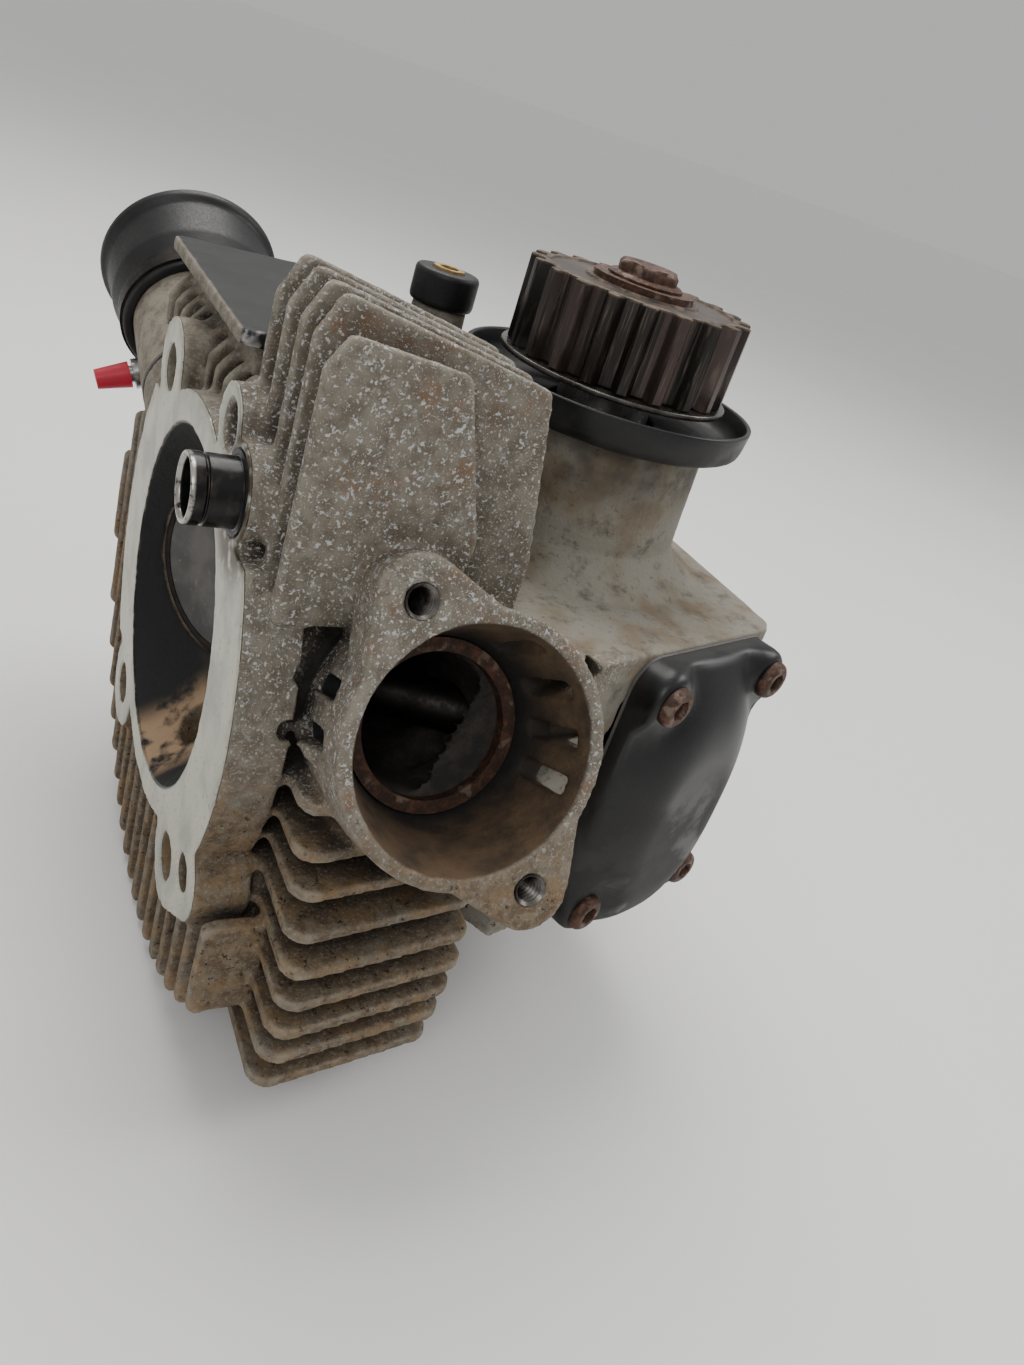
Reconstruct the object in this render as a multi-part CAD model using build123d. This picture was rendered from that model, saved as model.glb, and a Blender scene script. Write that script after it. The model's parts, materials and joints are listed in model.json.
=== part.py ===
from build123d import *
import math
import os

# Air-cooled two-valve cylinder head with a belt-driven camshaft, in millimetres.
# Origin: centre of the bore on the gasket face. The gasket face is the plane x = 0 and looks along -X.
# +Z runs along the camshaft towards its toothed pulley. Exhaust side is -Y, intake side is +Y.

# --- driving dimensions: gasket face and combustion chamber ---
BORE_R = 44.0
DOME_DEPTH = 27.0
DOME_R = (BORE_R**2 + DOME_DEPTH**2) / (2 * DOME_DEPTH)
DOME_X = DOME_DEPTH - DOME_R
DECK_T = 13.0
DECK_RING_R = 52.0
DECK_SIDE_R = 65.0
DECK_SIDE_Z = 38.0
STUD_Y = 37.7
STUD_Z = 47.1
STUD_HOLE_R = 5.75
STUD_BOSS_R = 12.5
SLEEVE_BOSS_R = 10.6
STUD_COLUMN_X = 62.0
OIL_HOLES = ((-24.1, 56.1), (-52.7, -38.7))
OIL_HOLE_R = 4.35
OIL_BOSS_R = 9.0
OIL_HOLE_DEPTH = 30.0
OIL_SPOT_R = 6.5
OIL_SPOT_DEPTH = 0.6
PLUG_DIRECTION = Vector(0.72, 0, -0.694).normalized()
PLUG_R = 6.5
PLUG_REACH = 19.0
PLUG_WELL_R = 12.5
PLUG_WELL = 80.0
SLEEVE_R = 7.2
SLEEVE_SEAT_R = 7.6
SEAL_RING_R = 8.6
SEAL_RING_T = 1.6
SLEEVE_DEPTH = 12.0
SLEEVE_PROUD = 10.0

# --- driving dimensions: valves, which lie in the plane z = 0 and tilt either way from the bore axis ---
VALVE_TILT = math.radians(27.0)
VALVE_R = {"intake": 21.5, "exhaust": 18.5}
SEAT_WALL = 2.0
FACE_S = 44.4
SEAT_S = (44.2, 50.0)
STEM_R = 3.5
GUIDE_R = 6.0
GUIDE_S = (74.0, 102.0)
SEAL_S = (102.0, 107.0)
FORK_S = 120.0
FORK_PIVOT_S = 117.5
COLLAR_S = (122.8, 126.8)
STEM_END_S = 139.0
CAP_S = (135.0, 140.0)
CAP_R = 4.6
FINGER_PIVOT_S = 146.0
RUN_GAP = 0.03
MOVE_GAP = 0.3

# --- driving dimensions: camshaft, rockers and their housing ---
CAM_X = 100.6
CAM_CORE_R = 9.5
OPEN_LOBE = (13.0, 20.0)
CLOSE_LOBE = (10.0, 15.5)
LOBE_W = 8.0
OPEN_ARM = 30.0
CLOSE_ARM = 26.0
HUB_R = 7.0
SHAFT_R = 4.0
PAD_R = 3.0
OPEN_PAD = (124.5, 6.0)
CLOSE_PAD = (77.5, 16.0)
HOUSING_Z = (-50.0, 31.0)
CAVITY_Z = (-44.0, 25.0)
CAVITY_FLOOR = 73.0
SEAM_A = (90.0, 65.4)
SEAM_B = (142.6, 47.2)
HOUSING_END = 146.0
COVER_Z = (-50.0, 30.0)
COVER_BULGE = 14.5
COVER_T = 3.0
GASKET_T = 0.8
SCREW_R = 3.0
SCREW_HEAD_R = 5.25
COVER_L = math.dist(SEAM_A, SEAM_B)
COVER_H = COVER_Z[1] - COVER_Z[0]
COVER_SCREWS = [(x, y) for x in (-21.5, 21.5) for y in (-32.0, 32.0)]
COVER_BOSS_R = 6.0
COVER_BOSS_H = 9.0
COVER_HOLLOW = (49.0, 68.0)

# --- driving dimensions: cam nose, from the housing up to the pulley ---
NECK_R = 29.6
NECK_ROOT_R = 30.5
SHOULDER_R = 39.0
NECK_TOP = 66.0
BEARING_Z = (44.0, 56.0)
BEARING_R = 23.5
JOURNAL_R = 12.5
SEAL_Z = (58.0, 65.0)
DISH_Z = (66.0, 75.0)
DISH_R = 38.6
PULLEY_Z = (77.5, 98.3)
PULLEY_R = 28.8
PULLEY_TEETH = 20
TOOTH_DEPTH = 3.2
PULLEY_SEAT_R = 11.0
BOLT_HEAD_R = 8.2
BOLT_TOP = 104.0
END_SCREW_ANGLES = (90, 210, 330)
END_SCREW_RING = 17.4

# --- driving dimensions: ports ---
PORT_TILT = math.radians(21.13)
PORT_YAW = math.radians(1.4)
EX_MOUTH = (45.4, -82.8, 16.3)
EX_MOUTH_R = 26.6
EX_WALL = 3.3
EX_DEPTH = 26.0
EX_PORT_R = 16.3
EX_RING_R = 19.5
EX_EAR_SPAN = 34.0
EX_EAR_R = 9.5
EX_EAR_T = 12.0
SLOTS = ((60, 12.0), (30.5, 12.0), (4.5, 12.0), (-19, 12.0), (161, 17.0), (181.5, 17.0))
SLOT_SIZE = (16, 4.2, 14)
EX_THREAD_R = 3.4
EAR_ANGLE = math.radians(119.2)
IN_FACE_Y = 74.0
IN_PORT_R = 16.5
IN_STUB_R = 19.5
IN_LUG_SPAN = 25.4
IN_LUG_R = 7.0
IN_RELIEF = 13.0
BOOT_RIM = (20.5, 130.1, 52.0)
BOOT_RIM_R = 26.9
BOOT_LENGTH = 30.0
MANIFOLD_GASKET_T = 1.0
MANIFOLD_END = 38.0
NIPPLE_ROOT = (7.4, 100.4, 25.6)
NIPPLE_TIP = (-5.4, 100.4, 21.2)

# --- driving dimensions: cooling fins ---
FIN_T = 3.2
FRONT_FIN_Z = (6, -4, -14, -22, -31, -38.5, -47, -56, -65, -75)
FRONT_FIN_Y = (-73, -76, -79, -82, -85, -88, -89, -88.5, -87.5, -86)
FRONT_FIN_X = (15.0, 62.0)
TALL_FIN_Y = (-58, -49, -40, -31, -22)
REAR_FIN_Y = range(-13, 84, 9)
BOTTOM_FIN_Y = range(-68, 96, 9)
FIN_ENVELOPE = 92.0
FIN_TAPER = 0.1

# Cylinders and cones stand on their own base.
FOOT = (Align.CENTER, Align.CENTER, Align.MIN)


def side_of(name):
    """-1 on the exhaust side, +1 on the intake side."""
    return 1.0 if name == "intake" else -1.0


def valve_axis(name):
    return Vector(math.cos(VALVE_TILT), side_of(name) * math.sin(VALVE_TILT), 0)


def valve_cross(name):
    """Square to the stem, towards the camshaft."""
    return Vector(math.sin(VALVE_TILT), -side_of(name) * math.cos(VALVE_TILT), 0)


def station(name, s):
    """Point on the valve's axis at a distance s from the dome's centre."""
    return Vector(DOME_X, 0, 0) + valve_axis(name) * s


def rod(start, end, radius, end_radius=None):
    """Cylinder or cone from one point to another."""
    start, end = Vector(start), Vector(end)
    length = (end - start).length
    plane = Plane(origin=start, z_dir=end - start)
    if end_radius is None:
        return plane * Cylinder(radius, length, align=FOOT)
    return plane * Cone(radius, end_radius, length, align=FOOT)


def tube(start, end, outer, inner):
    return rod(start, end, outer) - rod(start, end, inner)


def upright(x, y, z_range, radius, end_radius=None):
    """Cylinder or cone along Z."""
    return rod((x, y, z_range[0]), (x, y, z_range[1]), radius, end_radius)


def cam_disc(z_range, radius, end_radius=None):
    return upright(CAM_X, 0, z_range, radius, end_radius)


def prism(points, z_range):
    """XY polygon pulled along Z."""
    face = make_face(Polyline(*points, close=True))
    return Pos(0, 0, z_range[0]) * extrude(face, z_range[1] - z_range[0], dir=(0, 0, 1))


def stem_box(name, s_range, cross_range, z_half):
    """Box squared to a valve stem."""
    plane = Plane(origin=station(name, 0), x_dir=valve_axis(name), z_dir=(0, 0, 1))
    cross_sign = -side_of(name)
    low, high = sorted((cross_sign * cross_range[0], cross_sign * cross_range[1]))
    size = (s_range[1] - s_range[0], high - low, 2 * z_half)
    centre = Pos((s_range[0] + s_range[1]) / 2, (low + high) / 2, 0)
    return plane * centre * Box(*size)


# --- ports ---
def exhaust_normal():
    return Vector(-math.sin(PORT_YAW) * math.cos(PORT_TILT), -math.cos(PORT_YAW) * math.cos(PORT_TILT),
                  math.sin(PORT_TILT))


def exhaust_point(depth):
    """Point on the exhaust port's axis at a depth under its flange."""
    return Vector(*EX_MOUTH) - exhaust_normal() * depth


def exhaust_plane(depth=0.0):
    normal = exhaust_normal()
    across = Vector(math.cos(PORT_YAW), math.sin(PORT_YAW) * -1, 0)
    return Plane(origin=exhaust_point(depth), x_dir=across, z_dir=normal)


def ear_centres():
    """The two stud holes of the exhaust flange, in the flange's own plane."""
    dx, dy = math.cos(EAR_ANGLE) * EX_EAR_SPAN, math.sin(EAR_ANGLE) * EX_EAR_SPAN
    return ((dx, dy), (-dx, -dy))


def intake_direction():
    return Vector(0, math.cos(PORT_TILT), math.sin(PORT_TILT))


def intake_point(y):
    """Point on the intake duct's axis at a given y."""
    rim = Vector(*BOOT_RIM)
    return rim + intake_direction() * ((y - rim.Y) / intake_direction().Y)


def duct_point(distance):
    """Point on the intake duct's axis at a distance beyond the head's joint face."""
    return intake_point(IN_FACE_Y) + intake_direction() * distance


# --- head casting: solid stock ---
def stud_positions():
    return [(y, z) for y in (-STUD_Y, STUD_Y) for z in (-STUD_Z, STUD_Z)]


def boss_radius(y, z):
    """The boss under the sleeve is smaller than the other three."""
    return SLEEVE_BOSS_R if (y, z) == (-STUD_Y, STUD_Z) else STUD_BOSS_R


def deck_plate():
    side = Circle(DECK_SIDE_R) & Rectangle(2 * DECK_SIDE_R, 2 * DECK_SIDE_Z)
    outline = Circle(DECK_RING_R) + side
    for y, z in stud_positions():
        outline += Pos(y, z) * Circle(boss_radius(y, z))
    for y, z in OIL_HOLES:
        outline += Pos(y, z) * Circle(OIL_BOSS_R)
    outline += make_hull((Pos(-STUD_Y, -STUD_Z) * Circle(STUD_BOSS_R)).edges()
                         + (Pos(*OIL_HOLES[1]) * Circle(OIL_BOSS_R + 2)).edges())
    return extrude(Plane.YZ * outline, DECK_T, dir=(1, 0, 0))


def core():
    dome = rod((DECK_T, 0, 0), (48, 0, 0), 57, 50)
    top = Pos(44, 0, -7) * Box(62, 84, 76)
    far = Pos(34, 58, -4) * Box(44, 34, 58)
    columns = [rod((1, y, z), (STUD_COLUMN_X, y, z), boss_radius(y, z) - 1.5) for y, z in stud_positions()]
    oil = [rod((1, y, z), (OIL_HOLE_DEPTH + 6, y, z), OIL_BOSS_R - 0.6) for y, z in OIL_HOLES]
    return [dome, top, far] + columns + oil


def seam_outline():
    """Half of the cam housing's outline, as (x, |y|)."""
    return [(62, 44), (66, 58), (74, 70.9), SEAM_B, (HOUSING_END, 43)]


def cam_housing():
    lower = [(x, -y) for x, y in seam_outline()]
    upper = [(x, y) for x, y in reversed(seam_outline())]
    body = prism(lower + upper, HOUSING_Z)
    return fillet(body.edges().filter_by(Axis.Z).sort_by(Axis.X)[-2:], 4)


def neck():
    profile = Polyline((0, 20), (SHOULDER_R, 20), (SHOULDER_R, 32), (NECK_ROOT_R + 3, 34.5),
                       (NECK_ROOT_R, 39), (NECK_R, NECK_TOP), (0, NECK_TOP), close=True)
    face = Plane.XZ * make_face(profile)
    return Pos(CAM_X, 0, 0) * revolve(face, Axis.Z)


def rear_boss():
    return cam_disc((-56.0, HOUSING_Z[0] + 1), 21.0, 23.0)


def exhaust_collar():
    rim = Circle(EX_MOUTH_R + EX_WALL)
    plate = rim
    for x, y in ear_centres():
        ear = Pos(x, y) * Circle(EX_EAR_R)
        near = Pos(x * 0.35, y * 0.35) * Circle(EX_MOUTH_R - 6)
        plate += make_hull(ear.edges() + near.edges())
    flange = extrude(exhaust_plane(EX_EAR_T) * plate, EX_EAR_T)
    barrel = rod(exhaust_point(EX_DEPTH), exhaust_point(1), EX_MOUTH_R + EX_WALL - 0.6, EX_MOUTH_R + EX_WALL - 0.1)
    root = rod(exhaust_point(EX_DEPTH + 14), exhaust_point(EX_DEPTH - 1), EX_RING_R + 6, EX_MOUTH_R + EX_WALL - 1)
    upper, lower = ear_centres()
    upper_root = exhaust_plane(EX_EAR_T + 24) * Pos(*upper) * Circle(EX_EAR_R + 4)
    upper_face = exhaust_plane(EX_EAR_T - 1) * Pos(*upper) * Circle(EX_EAR_R)
    lower_root = exhaust_plane(EX_EAR_T + 14) * Pos(lower[0] * 0.8, lower[1] * 0.8) * Circle(EX_EAR_R - 3)
    lower_face = exhaust_plane(EX_EAR_T - 1) * Pos(*lower) * Circle(EX_EAR_R - 0.5)
    return [flange, barrel, root, loft([upper_root, upper_face]), loft([lower_root, lower_face])]


def intake_plane(y):
    """Plane square to the intake duct, its local Y axis running up the flange."""
    return Plane(origin=intake_point(y), x_dir=(1, 0, 0), z_dir=intake_direction())


def intake_flange(y, thickness, spare=0.0):
    """Two-lug flange of the intake duct, from the plane at y inwards."""
    outline = Circle(IN_STUB_R + spare)
    for sign in (-1, 1):
        outline += make_hull((Pos(0, sign * IN_LUG_SPAN) * Circle(IN_LUG_R + spare)).edges()
                             + (Pos(0, sign * 6) * Circle(IN_STUB_R - 8)).edges())
    return extrude(intake_plane(y) * outline, -thickness)


def intake_lug_line(sign, start, end):
    """Ends of a screw axis through one lug, as distances along the duct from the joint face."""
    plane = intake_plane(IN_FACE_Y)
    base = plane.origin - plane.y_dir * sign * IN_LUG_SPAN
    return base + plane.z_dir * start, base + plane.z_dir * end


def intake_spigot():
    barrel = rod(intake_point(44), intake_point(IN_FACE_Y), IN_STUB_R)
    lugs = [rod(*intake_lug_line(sign, -24, -1), IN_LUG_R - 0.5) for sign in (-1, 1)]
    return [barrel, intake_flange(IN_FACE_Y, 9)] + lugs


# --- head casting: fins ---
def plate_fin(face, thickness=FIN_T):
    """Fin of even thickness about its sketch plane."""
    return extrude(face, thickness / 2, both=True)


def tall_fin(y, first):
    """Tall exhaust-side fin square to Y, with its sloping top edge."""
    if first:
        points = [(5, 30), (5, 80.6), (9, 87), (33, 84), (44, 51), (40, 30)]
    else:
        points = [(5, 26), (5, 83.5), (9.4, 92), (55.4, 81.8), (63, 43.6), (63, 26)]
    sketch = make_face(Polyline(*points, close=True))
    sketch = fillet(sketch.vertices(), 2.0)
    return plate_fin(Plane(origin=(0, y, 0), x_dir=(1, 0, 0), z_dir=(0, -1, 0)) * sketch)


def rear_fin(y):
    points = [(5, 20), (5, 56), (9, 61), (60, 61), (60, 20)]
    sketch = fillet(make_face(Polyline(*points, close=True)).vertices(), 2.0)
    return plate_fin(Plane(origin=(0, y, 0), x_dir=(1, 0, 0), z_dir=(0, -1, 0)) * sketch)


def front_fin(z, y_out):
    """Exhaust-side fin square to Z."""
    x0, x1 = FRONT_FIN_X
    points = [(x0, -34), (x0, y_out), (x1, y_out + 8), (x1, -34)]
    sketch = fillet(make_face(Polyline(*points, close=True)).vertices(), 5.0)
    return plate_fin(Pos(0, 0, z) * sketch)


def envelope_z(y):
    return math.sqrt(max(FIN_ENVELOPE**2 - y**2, 0))


def bottom_fin(y):
    """Fin square to Y under the chamber and round the intake side."""
    reach = envelope_z(y * 0.93)
    x_end = FRONT_FIN_X[0] + 2 if y < -36 else 60.0
    top = -40.0 if y < 48 else min(22.0, 22.0 - (y - 83) * 1.8)
    points = [(2, top), (2, -reach), (x_end, -reach + (x_end - 2) * FIN_TAPER), (x_end, top)]
    sketch = fillet(make_face(Polyline(*points, close=True)).vertices(), 2.5)
    return plate_fin(Plane(origin=(0, y, 0), x_dir=(1, 0, 0), z_dir=(0, -1, 0)) * sketch)


def fin_webs():
    """Plates that tie the fins together."""
    far = [(44, -52), (80, -36), (97, -22), (96, -4), (86, 14), (60, 24), (44, 24)]
    far_web = extrude(Plane.YZ.offset(28) * make_face(Polyline(*far, close=True)), 5)
    under = [(-60, -40), (-52, -62), (-8, -78), (40, -68), (62, -44)]
    under_web = extrude(Plane.YZ.offset(24) * make_face(Polyline(*under, close=True)), 5)
    return [far_web, under_web]


def top_panel():
    """Flat cast panel over the rear fins."""
    panel = Pos(30, 41, 68) * Box(50, 86, 4)
    panel = fillet(panel.edges().filter_by(Axis.Z), 3)
    legs = [Pos(x, 41, 63) * Box(4, 80, 8) for x in (12, 50)]
    return [panel] + legs


def cover_mount_pillar():
    return [upright(67, 40, (10, 76), 9.5, 7.5)]


# --- head casting: hollows ---
def chamber():
    return Pos(DOME_X, 0, 0) * Rot(0, 90, 0) * Sphere(DOME_R)


def valve_hollows(name):
    radius = VALVE_R[name] + SEAT_WALL
    pocket = rod(station(name, FACE_S - 6), station(name, SEAT_S[1]), radius)
    guide = rod(station(name, GUIDE_S[0]), station(name, GUIDE_S[1] + 4), GUIDE_R)
    gear = stem_box(name, (GUIDE_S[1] + 0.5, 136), (-8, 14), 10.5)
    shafts = [rod((x, y, -48), (x, y, 30), SHAFT_R) for x, y in rocker_pivots(name)]
    return [pocket, guide, gear] + shafts


def exhaust_port():
    joint = station("exhaust", 70)
    throat = rod(station("exhaust", SEAT_S[1] - 1), joint, VALVE_R["exhaust"] - 3, EX_PORT_R)
    bend = Pos(*joint) * Sphere(EX_PORT_R + 0.4)
    runner = rod(joint, exhaust_point(EX_DEPTH - 1), EX_PORT_R)
    recess = rod(exhaust_point(EX_DEPTH), exhaust_point(-1), EX_RING_R, EX_MOUTH_R + 0.3)
    ring = rod(exhaust_point(EX_DEPTH), exhaust_point(EX_DEPTH - 4), EX_RING_R + 0.6)
    return [throat, bend, runner, recess, ring]


def intake_port():
    joint = station("intake", 70)
    throat = rod(station("intake", SEAT_S[1] - 1), joint, VALVE_R["intake"] - 3, IN_PORT_R)
    bend = Pos(*joint) * Sphere(IN_PORT_R + 0.4)
    elbow = intake_point(58)
    runner = rod(joint, elbow, IN_PORT_R - 0.3)
    corner = Pos(*elbow) * Sphere(IN_PORT_R + 0.4)
    mouth = rod(elbow, intake_point(IN_FACE_Y + 1), IN_PORT_R)
    screws = [rod(*intake_lug_line(sign, -14, 1), SCREW_R) for sign in (-1, 1)]
    relief = Location(intake_direction() * IN_RELIEF) * intake_flange(IN_FACE_Y, IN_RELIEF, 1.2)
    clear = rod(duct_point(0), duct_point(60), IN_STUB_R + 1.2)
    return [throat, bend, runner, corner, mouth, relief, clear] + screws


def rocker_pivots(name):
    """XY places of the opening and the closing rocker shaft of one valve."""
    opening = station(name, FINGER_PIVOT_S) + valve_cross(name) * OPEN_ARM
    closing = station(name, FORK_PIVOT_S) + valve_cross(name) * CLOSE_ARM
    return [(opening.X, opening.Y), (closing.X, closing.Y)]


def exhaust_ear_line(ear, start, end):
    """Ends of a line through one flange ear, as depths under the flange face."""
    place = exhaust_plane() * Pos(*ear)
    base = place.position
    return base - exhaust_normal() * start, base - exhaust_normal() * end


def exhaust_threads():
    return [rod(*exhaust_ear_line(ear, -1, 20), EX_THREAD_R) for ear in ear_centres()]


def cooling_slots():
    """Slots through the collar's wall: four towards the cam housing and two towards the gasket face."""
    slots = []
    for angle, depth in SLOTS:
        turn = math.radians(angle)
        radius = EX_MOUTH_R + 1
        place = exhaust_plane(depth) * Pos(radius * math.cos(turn), radius * math.sin(turn)) * Rot(0, 0, angle)
        slots.append(place * Box(*SLOT_SIZE))
    return slots


def cavity():
    half = [(CAVITY_FLOOR, 40), (CAVITY_FLOOR + 1, 50), (94.5, 69), (138, 53), (141.5, 38)]
    lower = [(x, -y) for x, y in half]
    upper = [(x, y) for x, y in reversed(half)]
    return prism(lower + upper, CAVITY_Z)


def cam_bores():
    run = cam_disc((CAVITY_Z[1] - 1, BEARING_Z[0] + 1), OPEN_LOBE[1] + 0.5)
    seat = cam_disc((BEARING_Z[0], NECK_TOP + 1), BEARING_R)
    rear = cam_disc((-57, CAVITY_Z[0] + 1), 13.0)
    screws = [rod(*end_screw_line(angle, -47, -57), 2.5) for angle in END_SCREW_ANGLES]
    return [run, seat, rear] + screws


def deck_holes():
    studs = [rod((-1, y, z), (STUD_COLUMN_X + 1, y, z), STUD_HOLE_R) for y, z in stud_positions()]
    sleeve = rod((-1, -STUD_Y, STUD_Z), (SLEEVE_DEPTH, -STUD_Y, STUD_Z), SLEEVE_SEAT_R)
    ring = rod((-1, -STUD_Y, STUD_Z), (SEAL_RING_T, -STUD_Y, STUD_Z), SEAL_RING_R)
    oil = [rod((-1, y, z), (OIL_HOLE_DEPTH, y, z), OIL_HOLE_R) for y, z in OIL_HOLES]
    first = OIL_HOLES[0]
    spot = rod((-1, *first), (OIL_SPOT_DEPTH, *first), OIL_SPOT_R)
    return studs + [sleeve, ring] + oil + [spot]


def plug_point(distance):
    """Point on the spark plug's axis at a distance from the dome's centre."""
    return Vector(DOME_X, 0, 0) + PLUG_DIRECTION * distance


def plug_hollows():
    thread_end = DOME_R + PLUG_REACH
    return [rod(plug_point(DOME_R - 3), plug_point(thread_end + 1), PLUG_R),
            rod(plug_point(thread_end), plug_point(thread_end + PLUG_WELL), PLUG_WELL_R)]


def end_screw_line(angle, start, end):
    turn = math.radians(angle)
    x, y = CAM_X + END_SCREW_RING * math.cos(turn), END_SCREW_RING * math.sin(turn)
    return (x, y, start), (x, y, end)


# --- valve covers ---
def seam_plane(name, height=0.0):
    """Plane of a cover's joint: local X runs up the seam away from the gasket face, Z points outwards."""
    sign = side_of(name)
    (ax, ay), (bx, by) = SEAM_A, SEAM_B
    along = Vector(bx - ax, sign * (by - ay), 0).normalized()
    outward = Vector(ay - by, sign * (bx - ax), 0).normalized()
    middle = Vector((ax + bx) / 2, sign * (ay + by) / 2, sum(COVER_Z) / 2)
    return Plane(origin=middle + outward * height, x_dir=along, z_dir=outward)


def seam_holes(name, low, high, radius):
    return [seam_plane(name, low) * Pos(x, y) * Cylinder(radius, high - low, align=FOOT) for x, y in COVER_SCREWS]


def valve_cover(name):
    base = extrude(seam_plane(name, GASKET_T) * RectangleRounded(COVER_L, COVER_H, 8), 4)
    skirt = seam_plane(name, 2) * RectangleRounded(COVER_L - 1.5, COVER_H - 2, 8)
    crown = seam_plane(name, COVER_BULGE) * RectangleRounded(46, 54, 12)
    hollow_foot = seam_plane(name, GASKET_T - 0.1) * RectangleRounded(*COVER_HOLLOW, 6)
    hollow_crown = seam_plane(name, COVER_BULGE - COVER_T) * RectangleRounded(41, 48, 9)
    shell = base + loft([skirt, crown]) - loft([hollow_foot, hollow_crown])
    shell += seam_holes(name, GASKET_T, COVER_BOSS_H, COVER_BOSS_R)
    shell -= seam_holes(name, COVER_BOSS_H, COVER_BULGE + 1, COVER_BOSS_R)
    return shell - seam_holes(name, 0, COVER_BULGE, SCREW_R + 0.3)


def cover_gasket(name):
    frame = RectangleRounded(COVER_L, COVER_H, 8) - RectangleRounded(*COVER_HOLLOW, 6)
    for x, y in COVER_SCREWS:
        frame += Pos(x, y) * Circle(COVER_BOSS_R)
    for x, y in COVER_SCREWS:
        frame -= Pos(x, y) * Circle(SCREW_R + 0.3)
    return extrude(seam_plane(name) * frame, GASKET_T)


def button_screw(place, length):
    """Button-head screw whose head rests on the place's XY plane and whose shank runs down its -Z."""
    head = Cylinder(SCREW_HEAD_R, 3.2, align=FOOT)
    head = fillet(head.faces().sort_by(Axis.Z)[-1].edges(), 2.0)
    socket = Pos(0, 0, 1.4) * extrude(RegularPolygon(2.3, 6), 3)
    shank = Pos(0, 0, -length) * Cylinder(SCREW_R, length + 0.5, align=FOOT)
    return place * (head + shank - socket)


def cover_screws(name):
    return [button_screw(seam_plane(name, COVER_BOSS_H) * Pos(x, y), 20) for x, y in COVER_SCREWS]


# --- head casting ---
def head_casting():
    fins = [tall_fin(y, y == TALL_FIN_Y[0]) for y in TALL_FIN_Y]
    fins += [rear_fin(y) for y in REAR_FIN_Y]
    fins += [front_fin(z, y) for z, y in zip(FRONT_FIN_Z, FRONT_FIN_Y)]
    fins += [bottom_fin(y) for y in BOTTOM_FIN_Y]
    stock = [deck_plate(), cam_housing(), neck(), rear_boss()]
    stock += core() + exhaust_collar() + intake_spigot() + fins + fin_webs() + top_panel() + cover_mount_pillar()
    body = Part() + stock
    hollows = [chamber(), cavity()] + valve_hollows("intake") + valve_hollows("exhaust")
    hollows += exhaust_port() + intake_port() + exhaust_threads() + cooling_slots()
    hollows += cam_bores() + deck_holes() + plug_hollows()
    body -= hollows
    bosses = []
    for name in ("intake", "exhaust"):
        bosses += seam_holes(name, -13, 0, COVER_BOSS_R)
    body += bosses
    threads = []
    for name in ("intake", "exhaust"):
        threads += seam_holes(name, -11, 1, SCREW_R)
    return body - threads


# --- valve gear ---
def valve(name):
    radius = VALVE_R[name]
    profile = [(0, FACE_S), (radius, FACE_S), (radius, FACE_S + 1.6), (radius - 3, FACE_S + 4.6),
               (STEM_R + 5, FACE_S + 8), (STEM_R + 1.5, FACE_S + 13), (STEM_R, FACE_S + 20),
               (STEM_R, STEM_END_S), (0, STEM_END_S)]
    return turned(name, profile)


def turned(name, profile):
    """Solid of revolution about a valve's axis from (radius, station) points."""
    plane = Plane(origin=station(name, 0), x_dir=valve_cross(name), z_dir=(0, 0, 1))
    axis = Axis(station(name, 0), valve_axis(name))
    points = [station(name, s) + valve_cross(name) * r for r, s in profile]
    return revolve(make_face(Polyline(*points, close=True)), axis)


def valve_seat(name):
    radius = VALVE_R[name]
    low, high = SEAT_S
    profile = [(radius + SEAT_WALL, low), (radius + SEAT_WALL, high), (radius - 3, high),
               (radius - 3, FACE_S + 4.7), (radius + 0.07, FACE_S + 1.63), (radius + 0.07, low)]
    return turned(name, profile)


def valve_guide(name):
    low, high = GUIDE_S
    return tube(station(name, low), station(name, high), GUIDE_R, STEM_R + RUN_GAP)


def stem_seal(name):
    low, high = SEAL_S
    return tube(station(name, low), station(name, high), GUIDE_R - 0.2, STEM_R + RUN_GAP)


def closing_collar(name):
    low, high = COLLAR_S
    return tube(station(name, low), station(name, high), 5.8, STEM_R)


def valve_cap(name):
    low, high = CAP_S
    cup = rod(station(name, low), station(name, high), CAP_R)
    return cup - rod(station(name, low - 1), station(name, STEM_END_S), STEM_R)


def level(name, low, high):
    """Z span of a piece: the intake side is the exhaust side turned half a turn about X."""
    return (low, high) if name == "exhaust" else (-high, -low)


def link(start, end, radius, z_range, end_radius=None):
    """Flat arm with round ends, square to Z."""
    end_radius = radius if end_radius is None else end_radius
    outline = make_hull((Pos(*start) * Circle(radius)).edges() + (Pos(*end) * Circle(end_radius)).edges())
    return Pos(0, 0, z_range[0]) * extrude(outline, z_range[1] - z_range[0], dir=(0, 0, 1))


def mirrored(point, name):
    return (point[0], side_of(name) * point[1])


def opening_rocker(name):
    pivot = rocker_pivots(name)[0]
    finger = station(name, CAP_S[1] + MOVE_GAP + PAD_R)
    hub = upright(*pivot, level(name, -5, 13), HUB_R)
    valve_arm = link(pivot, (finger.X, finger.Y), HUB_R - 2, level(name, -4, 4), PAD_R)
    cam_arm = link(pivot, mirrored(OPEN_PAD, name), HUB_R - 2, level(name, 5, 13), PAD_R)
    return hub + valve_arm + cam_arm - upright(*pivot, (-20, 20), SHAFT_R + RUN_GAP)


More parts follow.
